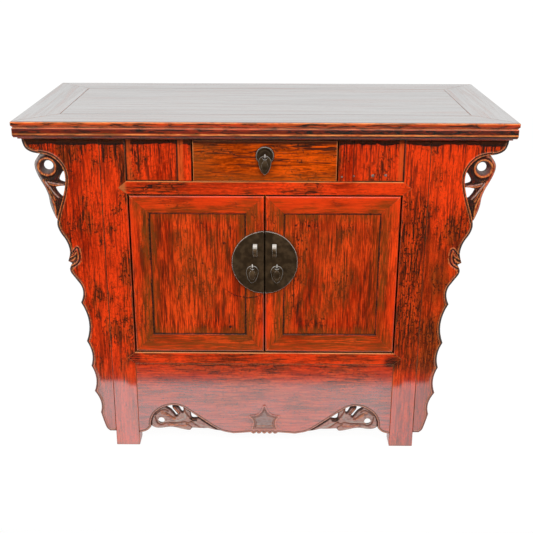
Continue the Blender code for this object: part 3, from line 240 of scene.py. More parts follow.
# The star's groove, rim and second line: how deep or high they are, and their black, rubbing and grey
STAR_SINK, STAR_RISE, STAR_LINE_SINK = 1.9, 0.3, 0.6
STAR_SOOT, STAR_RIM_RUBBING = 0.40, 0.25
STAR_CORE_DUST, STAR_GROOVE_DUST, STAR_RIM_DUST = 0.60, 0.15, 0.5
# Finely carved fields: low and high corner
FLAME_FIELD = ((436, 478), (474, 550))
STAR_FIELD = ((-42, 42), (42, 120))
# Carved strokes: height, then shares of black, rubbing and grey; the black of grooves and cuts is dirt with
# painted shade, the grey of pale strokes a painted highlight
STROKES = {
    "groove": (-1.7, 1.0, 0.0, 0.0), "orange": (1.1, 0.0, 1.0, 0.0), "line": (0.5, 0.0, 0.8, 0.0),
    "pale": (1.1, 0.05, 0.1, 0.95), "brown": (0.5, 0.45, 0.5, 0.0), "cut": (-1.5, 0.75, 0.1, 0.10),
}
# A stroke's paint is full this much sooner than its height
STROKE_COVER = 1.8
# Strokes with their half widths, drawn in millimetres from the middle and from the floor
SCROLL_STROKES = (
    ("groove", 4.6, ((518, 716), (507, 711), (495, 713), (485, 723), (481, 738), (485, 752), (495, 760))),
    ("orange", 2.4, (
        (518, 707), (512, 692), (507, 680), (502, 665), (497, 650), (495, 638), (494, 625), (494, 614),
    )),
    ("brown", 5.5, ((506, 688), (500, 674), (494, 660))),
    ("groove", 1.3, ((509, 690), (503, 676), (498, 662), (495, 652))),
    ("groove", 1.1, ((503, 686), (497, 673), (491, 661))),
    ("pale", 2.1, ((513, 702), (506, 692), (499, 682), (492, 672), (485, 665))),
    ("groove", 3.4, ((489, 658), (488.5, 645), (489.5, 632), (491, 622))),
    ("groove", 3.0, ((512, 707), (503, 704), (493, 702), (485, 702))),
    ("pale", 1.7, ((507, 702), (496, 699), (486, 697.3), (470, 696))),
    ("orange", 1.7, ((504, 697), (496, 694.6), (485, 694), (470, 693.8))),
)
FLAME_STROKES = (
    ("line", 1.7, (
        (467, 529.5), (462, 533), (456, 540.5), (450.5, 545), (443.5, 541), (440.8, 529), (440.5, 517),
        (442, 507), (447.5, 498.5), (455, 492.8), (461, 488), (465, 481),
    )),
    ("groove", 2.7, (
        (467, 524), (460.5, 529), (455.5, 536), (450.5, 541), (446.5, 538), (444.5, 528), (444, 518),
        (445.5, 509), (450.5, 501), (457.5, 496), (466, 491),
    )),
    ("groove", 5.0, ((468, 511), (461, 514), (455, 520), (452, 530))),
    ("groove", 3.0, ((463, 503), (456, 506), (452.5, 513), (451, 521))),
    ("orange", 1.9, ((469, 515.5), (462.5, 518), (456.5, 522), (452.5, 529))),
    ("orange", 2.0, ((470, 505.5), (460, 510), (455.5, 516))),
    ("orange", 1.9, ((450.5, 536.5), (448.5, 526), (448, 515), (451.5, 505), (459.5, 498.5), (466.5, 495))),
)
LEAF_STROKES = (
    ("cut", 3.4, ((281, 82), (279, 71), (274, 61), (265, 57), (257, 61))),
    ("cut", 3.6, ((280, 87), (272, 95), (264, 99.5), (255, 101), (247, 97))),
    ("brown", 6.5, ((262, 92), (252, 88), (242, 82), (232, 77))),
    ("cut", 2.6, ((254, 93), (244, 87), (236, 80), (229, 77))),
    ("pale", 4.4, ((226, 70), (213, 72.5), (203, 80), (204, 90))),
    ("pale", 3.2, ((257, 66), (246, 69), (236, 67.5), (222, 68))),
    ("groove", 5.2, ((233, 110), (226, 101), (219, 91))),
    ("brown", 2.4, ((231, 106), (225, 99), (220, 92))),
    ("cut", 3.6, ((205, 104), (203, 95), (197, 86), (191, 78))),
    ("groove", 3.4, ((191, 76), (184, 70), (175, 70.5))),
    ("groove", 4.2, ((169, 79), (156, 68.5), (141, 57.5), (122, 45.5))),
    ("brown", 3.8, ((247, 57), (236, 58.5), (224, 55.5), (203, 55))),
    ("cut", 2.6, ((254, 62), (236, 63), (221, 63), (206, 66), (196, 63), (187, 66.5))),
    ("cut", 2.6, ((201, 60), (190, 53), (187, 47))),
    ("cut", 2.4, ((191, 68), (181, 62), (174, 55), (166, 50))),
    ("pale", 4.0, ((178, 64), (165, 58), (150, 52), (136, 47))),
    ("pale", 3.2, ((270, 51), (256, 52), (243, 53.5))),
    ("pale", 2.8, ((226, 51), (212, 47.5), (200, 45.5))),
)
STAR_STROKES = (("brown", 2.0, ((-20, 58), (20, 58))),)
# Pierced eyes are funnels: the scroll's back radius, and the leaf's shift, front and back radius
SCROLL_EYE_BACK = 11.0
LEAF_EYE_SHIFT, LEAF_EYE_RADII = (0.0, -3.6), (8.0, 13.5)
EYE_SIDES = 48
FUNNEL_STEPS = 7
FUNNEL_CURVE = 1.7
# Spacing of the plain field, and of carved spots in steps: along edges and in the finely carved fields
FIELD_STEP = 10.0
BOARD_ROW, RELIEF_ROW, FLAME_STEP, STAR_STEP = 1.4, 1.2, 0.75, 0.85
LATTICE_RISE = 0.866
# In millimetres: how near spots may come to an outline, and what counts as on a row, a rim or a joint
OUTLINE_CLEAR = 0.5
ROW_SLACK, RIM_SLACK, SCROLL_SLACK, JOINT_SLACK = 0.12, 0.1, 0.6, 1.0
# Facets whose normal points this far to the front belong to a face
FRONTAL = -0.99

# The stage: how far it reaches, its greys, how the sheet shows in reflections, and the lamps
STAGE_REACH = 30.0
SENSOR_WIDTH = 36.0
SHEET_GREY, FLOOR_GREY = 0.90, 0.005
SHEET_SHOWN, SHEET_GLOW = 0.90, 1.06
SEEN_RAYS = ("Is Camera Ray", "Is Glossy Ray", "Is Transmission Ray")
LAMP_AIM = (0.0, 0.0, 0.45)
# Each lamp: where it stands, its size, and its share of the key's strength
LAMPS = {"key_lamp": ((0.9, -2.6, 2.6), 1.0, 1.0), "fill_lamp": ((-1.9, -2.2, 1.7), 1.6, 0.45)}


def shade(name, text, default):
    return bpy.props.FloatVectorProperty(
        name=name, description=text, subtype="COLOR", size=3, min=0.0, max=1.0, default=default
    )


def length(name, text, default):
    return bpy.props.FloatProperty(
        name=name, description=text, subtype="DISTANCE", unit="LENGTH", min=0.0, default=default
    )


def amount(name, text, default):
    return bpy.props.FloatProperty(name=name, description=text, min=0.0, default=default)


def turn(name, text, degrees):
    return bpy.props.FloatProperty(
        name=name, description=text, subtype="ANGLE", unit="ROTATION", default=math.radians(degrees)
    )


class CabinetFinish(bpy.types.PropertyGroup):
    """Colours and wear of the lacquer, the bare wood and the bronze."""

    red: shade("Red", "Main red of the lacquer", (0.780, 0.032, 0.003))
    glow: shade("Glow", "Bright red where the lacquer is thin", (1.000, 0.060, 0.007))
    ember: shade("Ember", "Orange-red of the thin lacquer on the doors", (1.000, 0.080, 0.009))
    deep: shade("Deep", "Dark red between the bright streaks", (0.130, 0.013, 0.003))
    umber: shade("Umber", "Brown-black of the open grain and of the flecks", (0.045, 0.012, 0.006))
    # also the colour of painted shade: the band below the top, deep corners, bands on the top's edge, carved
    # grooves and walls
    soot: shade("Soot", "Black-brown of seams, grooves and grime", (0.016, 0.011, 0.009))
    patina: shade("Patina", "Olive-brown film in corners and hollows", (0.260, 0.058, 0.008))
    # also the colour of painted highlight lines on the top's edge and on door and drawer arrises
    rubbed: shade("Rubbed", "Pale orange wood on rubbed arrises", (0.680, 0.230, 0.065))
    orange: shade("Orange", "Thin orange lacquer at the ends of the frieze", (0.740, 0.108, 0.018))
    # also the colour of painted highlights and pale reflections on the carving
    dusty_sheen: shade("Dusty", "Grey dust on worn carving", (0.340, 0.328, 0.310))
    amber: shade("Amber", "Amber brown of the drawer front", (0.600, 0.070, 0.002))
    top: shade("Top", "Grey-brown of the worn top", (0.130, 0.104, 0.092))
    bare: shade("Bare", "Aged bare wood inside and behind", (0.330, 0.190, 0.095))
    bronze: shade("Bronze", "Dark patinated bronze", (0.112, 0.068, 0.034))
    # also the colour of painted highlights on upward faces, edges and eyes of the hardware
    bright: shade("Bright", "Metal where it is rubbed bright", (0.800, 0.760, 0.690))
    iron: shade("Iron", "Grey of the nail heads", (0.230, 0.220, 0.190))
    wear_width: length("Wear width", "How far the rubbing reaches from an arris", 0.0016)
    corner_reach: length("Corner reach", "How far the film reaches out of a corner", 0.016)
    seam_reach: length("Seam reach", "How far the dirt reaches out of a seam", 0.0030)


class CabinetCarving(bpy.types.PropertyGroup):
    """Sizes of the eased arrises and of the carved surfaces."""

    ease: length("Ease", "Rounding of the boards' long arrises", 0.0012)
    step: length("Step", "Spacing of the points on carved surfaces", 0.0017)
    eye_rim: length("Eye rim", "Width of the rubbed rim round a pierced eye", 0.0044)


class CabinetStage(bpy.types.PropertyGroup):
    """Camera, lamps, floor and backdrop."""

    lens: amount("Lens", "Focal length in millimetres on a 36 mm sensor", 61.878)
    camera: bpy.props.FloatVectorProperty(
        name="Camera", description="Where the camera stands", subtype="XYZ", unit="LENGTH", size=3,
        default=(0.01694, -2.31848, 1.26199),
    )
    pitch: turn("Pitch", "How far the camera looks down", 20.3356)
    yaw: turn("Yaw", "How far the camera turns to the right", -0.3471)
    roll: turn("Roll", "How far the camera leans", 0.1548)
    sheet_front: length("Sheet front", "How far the white sheet comes forward of the cabinet", 0.33)
    key: amount("Key", "Strength of the broad lamp above the front", 54.0)
    fill: amount("Fill", "Strength of the soft light from all round", 0.72)


def finish():
    return bpy.context.scene.cabinet_finish


def carving():
    return bpy.context.scene.cabinet_carving


def stage():
    return bpy.context.scene.cabinet_stage


# Materials

def scaled(colour, share):
    return [min(1.0, share * part) for part in colour]


class Surface:
    """A material under construction: adds nodes, links sockets and lays one tone over another."""

    def __init__(self, name):
        self.look = finish()
        self.material = bpy.data.materials.new(name)
        self.material.use_nodes = True
        self.tree = self.material.node_tree
        self.shader = self.tree.nodes["Principled BSDF"]
        self.place = self.add("ShaderNodeTexCoord").outputs["Object"]
        self.spot = dict(zip(("across", "deep", "up"), self.parts(self.place)))
        self.tone = None

    def add(self, kind, settings=(), **inputs):
        node = self.tree.nodes.new(kind)
        for key, value in dict(settings).items():
            setattr(node, key, value)
        for key, value in inputs.items():
            self.feed(node.inputs[int(key[1:]) if key[0] == "i" and key[1:].isdigit() else key], value)
        return node

    def feed(self, socket, value):
        if isinstance(value, bpy.types.NodeSocket):
            self.tree.links.new(value, socket)
        elif isinstance(socket.default_value, float):
            socket.default_value = value
        else:
            socket.default_value = (*value, 1.0)[: len(socket.default_value)]

    def put(self, **inputs):
        """Sets or links the shader's inputs; a low line in a name stands for a space."""
        for key, value in inputs.items():
            self.feed(self.shader.inputs[key.replace("_", " ")], value)

    def math(self, operation, first, second=0.0):
        return self.add("ShaderNodeMath", {"operation": operation}, i0=first, i1=second).outputs[0]

    def times(self, first, *others):
        for other in others:
            first = self.math("MULTIPLY", first, other)
        return first

    def most(self, first, *others):
        for other in others:
            first = self.math("MAXIMUM", first, other)
        return first

    def apart(self, first, second):
        """How far two values lie apart."""
        return self.math("ABSOLUTE", self.math("SUBTRACT", first, second))

    def blend(self, first, share, second, other):
        """Adds two heights by their shares."""
        return self.math("ADD", self.times(first, share), self.times(second, other))

    def ramp(self, value, low, high, start=0.0, end=1.0):
        """Goes smoothly from start to end while the value goes from low to high."""
        node = self.add(
            "ShaderNodeMapRange", {"interpolation_type": "SMOOTHSTEP"}, Value=value,
            **{"From Min": low, "From Max": high, "To Min": start, "To Max": end},
        )
        return node.outputs["Result"]

    def fade(self, share, end):
        """Goes from 1 to the given end while a share goes from 0 to 1."""
        return self.ramp(share, 0.0, 1.0, 1.0, end)

    def zone(self, name, start=0.0, end=1.0):
        """Goes from start to end over the first bound of a zone, within its other bounds."""
        (axis, low, high), *others = ZONES[name]
        first = self.ramp(self.spot[axis], low, high, start, end)
        return self.times(first, *(self.ramp(self.spot[other], *bounds) for other, *bounds in others))

    def mix(self, share, first, second):
        node = self.add("ShaderNodeMix", {"data_type": "RGBA"}, i0=share, i6=first, i7=second)
        return node.outputs[2]

    def lay(self, share, colour):
        """Lays a colour over what is there."""
        self.tone = self.mix(share, self.tone, colour)

    def noise(self, grain, along, across, detail=3.0, roughness=0.55, distortion=0.0):
        """Noise with so many units to the metre along the grain and across it."""
        scale = [across] * 3
        scale["XYZ".index(grain)] = along
        vector = self.add("ShaderNodeMapping", Vector=self.place, Scale=scale).outputs["Vector"]
        node = self.add(
            "ShaderNodeTexNoise", Vector=vector, Scale=1.0, Detail=detail, Roughness=roughness,
            Distortion=distortion,
        )
        return node.outputs["Fac"]

    def painted(self):
        """The black, rubbing and grey that a carved mesh carries: dirt with painted shade, wear, and dust
        with painted highlight.
        """
        colour = self.add("ShaderNodeAttribute", {"attribute_name": "paint"}).outputs["Color"]
        return self.add("ShaderNodeSeparateColor", Color=colour).outputs[:3]

    def arris(self, width):
        """How near a point is to an edge, and the normal rounded over it."""
        rounded = self.add("ShaderNodeBevel", {"samples": 4}, Radius=width).outputs["Normal"]
        flat = self.add("ShaderNodeNewGeometry").outputs["True Normal"]
        dot = self.add("ShaderNodeVectorMath", {"operation": "DOT_PRODUCT"}, i0=rounded, i1=flat)
        return self.math("SUBTRACT", 1.0, dot.outputs["Value"]), rounded

    def parts(self, vector):
        """What a vector holds across, deep and up."""
        return self.add("ShaderNodeSeparateXYZ", Vector=vector).outputs

    def facing(self):
        """Which way a point faces at rest: across, deep and up."""
        return self.parts(self.add("ShaderNodeTexCoord").outputs["Normal"])

    def away(self, across, up):
        """How far a point lies from a spot on the front, given in millimetres."""
        front = self.add(
            "ShaderNodeVectorMath", {"operation": "MULTIPLY"}, i0=self.place, i1=(1.0, 0.0, 1.0)
        ).outputs[0]
        spot = (across * MM, 0.0, up * MM)
        node = self.add("ShaderNodeVectorMath", {"operation": "DISTANCE"}, i0=front, i1=spot)
        return node.outputs["Value"]

    def openness(self, reach):
        """1 on a free face, less in a corner."""
        return self.add("ShaderNodeAmbientOcclusion", {"samples": 4}, Distance=reach).outputs["AO"]

    def bump(self, height, depth, normal):
        node = self.add("ShaderNodeBump", Strength=1.0, Distance=depth, Height=height, Normal=normal)
        self.tree.links.new(node.outputs["Normal"], self.shader.inputs["Normal"])


class Lacquer(Surface):
    """Old lacquer over grain, on a plain board, a door, the drawer or a carving."""

    def __init__(self, name, grain, colours, streaks, kind):
        super().__init__(name)
        self.grain, self.streaks, self.kind = grain, streaks, kind
        self.handled = kind in ("door", "drawer")
        self.base, self.glow, self.deep = colours
        self.blotches = 0.3 if kind == "door" else 0.6
        self.cloud = self.noise(grain, 4.5, 13.0, 4.0, 0.60)
        self.patch = self.noise(grain, 10.0, 26.0, 5.0, 0.62)
        self.broad = self.noise(grain, 8.0, 85.0, 4.0, 0.62, 0.5)
        self.streak = self.noise(grain, 22.0, 330.0, 2.5, 0.60, 0.3)
        self.line = self.noise(grain, 14.0, 250.0, 2.5, 0.60, 0.4)
        self.mottle = self.noise(grain, 110.0, 200.0, 4.0, 0.66)
        self.fleck = self.noise(grain, 170.0, 230.0, 2.0, 0.60)
        self.spot["outward"] = self.math("ABSOLUTE", self.spot["across"])
        if kind == "door":
            self.spot["inset"], self.spot["along"] = self.door_inset()
        self.fresh = self.zone("fresh")
        self.low = self.zone("low")

    def door_inset(self):
        """How far in from the edge of its door a point lies, and how far from a corner along that edge."""
        level, upright = (
            self.math("MINIMUM", self.math("SUBTRACT", self.spot[axis], start),
                      self.math("SUBTRACT", end, self.spot[axis]))
            for axis, start, end in (("outward", DOOR_MEETING, DOOR_OUTER), ("up", DOOR_BOTTOM, DOOR_TOP))
        )
        return self.math("MINIMUM", level, upright), self.most(level, upright)

    def lay_ground(self):
        """Clouded red with bright streaks, brightest on the left post and at the upper right."""
        door = self.kind == "door"
        self.tone = self.mix(self.ramp(self.cloud, 0.36, 0.58), scaled(self.base, 0.58), self.glow)
        thin = self.most(self.zone("left_post", end=0.85), self.fresh)
        self.lay(self.times(thin, 0.95), self.glow)
        shown = self.noise("Z", 16.0, 16.0, 3.0, 0.6)
        shown = self.ramp(shown, 0.40, 0.62, 0.60 * self.streaks, self.streaks)
        for noise, start, end, share in (
            (self.broad, 0.50, 0.38, 0.40 if door else 0.65),
            (self.mottle, 0.48, 0.36, self.blotches),
            (self.streak, 0.49, 0.40, 0.60 if door else 0.80),
        ):
            self.lay(self.times(self.ramp(noise, start, end, 0.0, share), shown), self.glow)
        self.open_grain = self.times(shown, self.fade(self.fresh, 0.7))

    def lay_wear(self):
        """Worn patches with a brown film, most on the right post and wing, and dark streaks."""
        look, ramp, times = self.look, self.ramp, self.times
        aged = self.most(self.zone("right_post"), self.zone("right_low", end=0.8))
        aged = times(aged, self.zone("right_side"), ramp(self.patch, 0.36, 0.54, 0.45, 1.0))
        worn = ramp(self.patch, 0.49, 0.64, 0.0, (0.60 if self.kind == "door" else 1.0) * self.streaks)
        worn = times(worn, self.fade(self.most(self.fresh, self.low), 0.45))
        self.worn = self.most(aged, worn)
        self.lay(times(self.worn, ramp(self.streak, 0.38, 0.56, 0.35, 0.85)), look.patina)
        self.lay(times(self.zone("right_wing"), ramp(self.patch, 0.34, 0.56, 0.30, 0.65)), look.patina)
        even = 0.75 if self.handled else 0.50
        for noise, end, share in (
            (self.broad, 0.63, even), (self.mottle, 0.63, self.blotches), (self.streak, 0.59, even),
        ):
            self.lay(times(ramp(noise, 0.50, end, 0.0, share), self.open_grain), self.deep)
        self.lay(times(self.worn, ramp(self.streak, 0.46, 0.58, 0.0, 0.80)), self.deep)

    def lay_flecks(self):
        """Dark lines and specks in the open grain, gathered in the worn patches and softer down low."""
        ramp, times = self.ramp, self.times
        lines = 0.75 if self.handled else 0.60 * self.streaks**2
        dots = 0.45 if self.kind == "door" else 0.8 * self.streaks**2
        self.dark = self.most(
            times(ramp(self.line, 0.55, 0.60), ramp(self.worn, 0.0, 0.7, lines, 0.97)),
            times(ramp(self.fleck, 0.55, 0.61), ramp(self.worn, 0.0, 0.6, 0.0, 0.9)),
            times(ramp(self.fleck, 0.585, 0.625), ramp(self.patch, 0.44, 0.56, 0.12, dots)),
        )
        self.dark = times(self.dark, self.zone("soft_flecks", 1.0, 0.55))
        self.lay(self.dark, self.look.umber)

    def lay_door_film(self):
        """Olive film in the hollow of a door's frame, bright at its head and rim, and dark outer panels."""
        look, ramp, times = self.look, self.ramp, self.times
        outer = self.zone("door_outer", end=0.65)
        self.lay(times(outer, ramp(self.streak, 0.42, 0.55, 0.25, 1.0)), look.deep)
        self.lay(times(self.zone("door_head", end=0.75), ramp(self.patch, 0.42, 0.62, 1.0, 0.3)), look.glow)
        self.lay(times(self.zone("door_rim", end=0.6), ramp(self.patch, 0.42, 0.60, 1.0, 0.3)), look.glow)
        hollow = times(self.zone("door_hollow"), self.zone("door_below_head", 0.45, 1.0))
        film = self.most(
            times(hollow, ramp(self.patch, 0.36, 0.56, 0.35, 0.97)),
            times(self.zone("door_panel", end=0.40), ramp(self.patch, 0.40, 0.56, 0.25, 1.0)),
            self.zone("door_foot", end=0.78),
            times(self.zone("door_corner", end=0.85), ramp(self.patch, 0.36, 0.54, 0.35, 1.0)),
        )
        self.lay(times(film, ramp(self.streak, 0.40, 0.56, 0.45, 1.0)), scaled(look.patina, 0.85))
        self.lay_door_marks()

    def lay_door_marks(self):
        """The dark seam round a door's panel, the knots and an old scratch."""
        ramp, times = self.ramp, self.times
        marks = [times(
            ramp(self.apart(self.spot["inset"], DOOR_FRAME), *PANEL_SEAM),
            ramp(self.patch, 0.36, 0.54, 0.35, 0.95), ramp(self.fleck, 0.40, 0.56, 0.45, 1.0),
        )]
        for across, up, radius in KNOTS:
            knot = ramp(self.away(across, up), radius * MM, 0.4 * radius * MM, 0.0, 0.9)
            marks.append(times(knot, ramp(self.fleck, 0.30, 0.52)))
        across, up, radius = SCRATCH
        ring = ramp(self.apart(self.away(across, up), radius * MM), *SCRATCH_LINE)
        marks.append(times(ring, self.zone("scratch"), ramp(self.fleck, 0.38, 0.56, 0.0, 0.8)))
        self.lay(self.most(*marks), self.look.soot)

    def lay_drawer_film(self):
        """Olive film at the left end and along the foot of the drawer."""
        film = self.most(self.zone("drawer_left", end=0.8), self.zone("drawer_foot", end=0.6))
        self.lay(self.times(film, self.ramp(self.streak, 0.40, 0.56, 0.45, 1.0)), self.look.patina)

    def lay_rail_stains(self):
        """Dark stains where the rail below the doors meets the posts."""
        for across, above, radius in STAINS:
            away = self.away(across, RAIL_MIDDLE + above)
            stain = self.times(
                self.ramp(away, radius * MM, 0.3 * radius * MM, 0.0, 0.95),
                self.ramp(self.patch, 0.38, 0.54, 0.45, 1.0), self.ramp(self.streak, 0.40, 0.54, 0.70, 1.0),
            )
            self.lay(stain, self.look.umber)

    def lay_foot(self):
        """Warm orange in the low zone between the streaks, and a darker foot."""
        ramp = self.ramp
        warmth = self.times(
            ramp(self.cloud, 0.36, 0.58, 0.10, 0.65), ramp(self.streak, 0.42, 0.54, 1.0, 0.15), self.low,
            ramp(self.dark, 0.0, 0.35, 1.0, 0.1),
        )
        self.lay(warmth, self.look.orange)
        self.lay(self.times(self.zone("foot"), self.zone("beside_post", 0.45, 0.65)), self.deep)

    def lay_top_shadow_and_runs(self):
        """A ragged black band of painted shadow below the top's overhang, thinner on the drawer, and dark
        streaks that run down from it.
        """
        rise, share = (-0.001, 0.85) if self.kind == "drawer" else (0.003, 0.97)
        ragged = self.math("ADD", self.spot["up"], self.ramp(self.patch, 0.35, 0.65, -0.003, rise))
        # painted shadow: the black band below the top's overhang
        shadow_band = self.ramp(ragged, *TOP_SHADOW_EDGE, 0.0, share)
        runs = self.times(self.zone("grime_runs", end=0.7), self.ramp(self.line, 0.54, 0.60))
        self.lay(self.times(self.most(shadow_band, runs), self.zone("below_top")), self.look.soot)

    def lay_corners(self):
        """Film in the corners, the marks of frieze and rails, dark dirt in the seams, and painted shade deep
        in the corners.
        """
        look, ramp = self.look, self.ramp
        self.off_corners = self.openness(look.corner_reach)
        film = ramp(self.off_corners, 0.92, 0.55, 0.0, 0.7)
        self.lay(self.times(film, ramp(self.patch, 0.25, 0.60, 0.4, 1.0)), look.patina)
        if self.kind in ("board", "drawer"):
            self.lay_frieze_marks()
        self.off_seams = self.openness(look.seam_reach)
        seam = self.times(ramp(self.off_seams, 0.97, 0.76), ramp(self.patch, 0.34, 0.54, 0.65, 1.0))
        # painted shade: black where ambient occlusion finds a deep corner, with the dark dirt of the seams
        dull_and_shaded = self.most(ramp(self.off_corners, 0.55, 0.22, 0.0, 0.94), seam)
        self.dull_and_shaded = self.times(dull_and_shaded, self.fade(self.low, 0.25))
        self.lay(self.dull_and_shaded, look.soot)

    def lay_frieze_marks(self):
        """Orange strips and dark joints on upright boards, pale point and ledges on level ones, a peg."""
        look, ramp, times = self.look, self.ramp, self.times
        across, up = self.spot["across"], self.spot["up"]
        frieze = self.zone("frieze")
        for start, end in FRIEZE_STRIPS if self.grain == "Z" else ():
            strip = times(
                ramp(across, (start - STRIP_OUT) * MM, (start + STRIP_IN) * MM),
                ramp(across, (end + STRIP_OUT) * MM, (end - STRIP_IN) * MM), frieze,
                ramp(self.patch, 0.36, 0.60, 0.90, 0.60), ramp(self.streak, 0.42, 0.56, 1.0, 0.45),
            )
            self.lay(strip, look.orange)
        for place in FRIEZE_JOINTS if self.grain == "Z" else ():
            joint = times(ramp(self.apart(across, place), *JOINT_LINE), frieze)
            self.lay(times(joint, ramp(self.patch, 0.36, 0.52, 0.70, 0.97)), look.soot)
        if self.grain == "X":
            self.lay(self.zone("rail_point", end=0.75), scaled(look.rubbed, 0.75))
        for ledge in (RAIL_TOP, FRIEZE_LOW) if self.grain == "X" else ():
            arris = ramp(self.apart(up, ledge - LEDGE_DROP), *LEDGE_LINE)
            self.lay(times(arris, ramp(self.patch, 0.36, 0.54, 0.45, 0.95)), scaled(look.rubbed, 1.3))
        middle, height, half = (size * MM for size in PEG)
        peg = self.most(self.apart(across, middle), self.apart(up, height))
        self.lay(ramp(peg, half + MM, half, 0.0, 0.85), look.soot)

    def lay_rubbing(self):
        """Rubbed arrises, brighter on the doors and drawer as a painted highlight, and the black, grey and
        rubbing painted on a carving, the black partly painted shade and the grey partly painted highlight.
        """
        look, ramp, times = self.look, self.ramp, self.times
        edge, self.rounded = self.arris(look.wear_width)
        rubbing = times(
            ramp(edge, 0.015, 0.10), ramp(self.off_seams, *((0.25, 0.55) if self.handled else (0.85, 0.98)))
        )
        if self.handled:
            rubbing = times(rubbing, ramp(self.patch, 0.34, 0.56, 0.60, 1.0))
        else:
            kept = ramp(self.off_corners, 0.80, 0.97)
            rubbing = times(rubbing, kept, ramp(self.patch, 0.34, 0.56, 0.20, 0.85))
        if self.kind == "door":
            rubbing = times(rubbing, self.zone("door_arris"))
        if self.kind == "carved":
            # painted shade and painted highlight: the carving's black is partly painted shade, its grey
            # partly painted highlight and pale reflection
            soot, worn, dust_and_sheen = self.painted()
            self.lay(times(soot, ramp(self.mottle, 0.36, 0.52, 0.90, 1.0)), look.soot)
            self.lay(times(dust_and_sheen, ramp(self.mottle, 0.40, 0.64, 1.0, 0.60)), look.dusty_sheen)
            rubbing = self.most(rubbing, times(worn, ramp(self.mottle, 0.57, 0.45, 0.15, 1.0)))
            self.dull_and_shaded = self.most(self.dull_and_shaded, soot, dust_and_sheen)
        # painted highlight: on the doors and drawer the rubbed colour is brightened 1.3 times for the light
        # on their arrises
        self.lay(rubbing, scaled(look.rubbed, 1.3 if self.handled else 1.0))
        arris = times(ramp(edge, 0.010, 0.080), self.fade(self.low, 0.25))
        self.dull_and_shaded = self.most(self.dull_and_shaded, rubbing, arris)

    def polish(self, shine, haze):
        """Gloss where the lacquer is whole, most on the feet and least on the right and on low side faces."""
        ramp, times = self.ramp, self.times
        sideways = times(self.low, self.math("ABSOLUTE", self.facing()["X"]))
        gloss = times(
            ramp(self.dull_and_shaded, 0.0, 0.8, shine, 0.06 * shine), self.zone("above_feet", 1.0, 0.45),
            ramp(sideways, 0.3, 0.8, 1.0, 0.1), ramp(self.cloud, 0.36, 0.60, 1.0, 0.86),
            self.zone("dull_right", 1.0, 0.72),
        )
        rough = self.math("ADD", ramp(self.patch, 0.3, 0.7, 0.20, 0.30), times(self.dull_and_shaded, 0.45))
        self.put(Base_Color=self.tone, Roughness=rough, Specular_IOR_Level=0.15)
        self.put(Coat_Weight=gloss, Coat_Roughness=haze, Coat_IOR=2.75)
        self.bump(self.blend(self.streak, 0.6, self.fleck, 0.3), GRAIN_DEPTH["lacquer"], self.rounded)


def lacquer(name, grain, colours, streaks=1.0, kind="board", shine=1.0, haze=0.09):
    """Old lacquer, laid from its ground to its rubbed arrises and polished."""
    surface = Lacquer(name, grain, colours, streaks, kind)
    surface.lay_ground()
    surface.lay_wear()
    surface.lay_flecks()
    if kind == "door":
        surface.lay_door_film()
    elif kind == "drawer":
        surface.lay_drawer_film()
    else:
        surface.lay_rail_stains()
    surface.lay_foot()
    surface.lay_top_shadow_and_runs()
    surface.lay_corners()
    surface.lay_rubbing()
    surface.polish(shine, haze)
    return surface.material


def lay_edge_shadow_and_highlight_marks(surface, patch):
    """Dark bands, partly painted shadow, and rubbed lines, partly painted highlight, along the top's moulded
    edge.
    """
    look = surface.look
    below = surface.math("SUBTRACT", CAD_BOX[1].z, surface.spot["up"])
    # the dark bands, partly painted shadow, weigh more towards the right
    sooty = surface.zone("sooty_edge", 0.85, 1.25)
    for lines, colour, least, strength in (
        (EDGE_DARK_AND_SHADOW_BANDS, scaled(look.soot, 1.6), 0.6, sooty), (EDGE_WEAR_AND_HIGHLIGHT_LINES, scaled(look.rubbed, 1.3), 0.4, 1.0),
    ):
        for middle, half, share in lines:
            mark = surface.ramp(surface.apart(below, middle * MM), half * MM, 0.5 * half * MM)
            shown = surface.ramp(patch, 0.40, 0.56, share, least * share)
            surface.lay(surface.times(mark, shown, strength), colour)


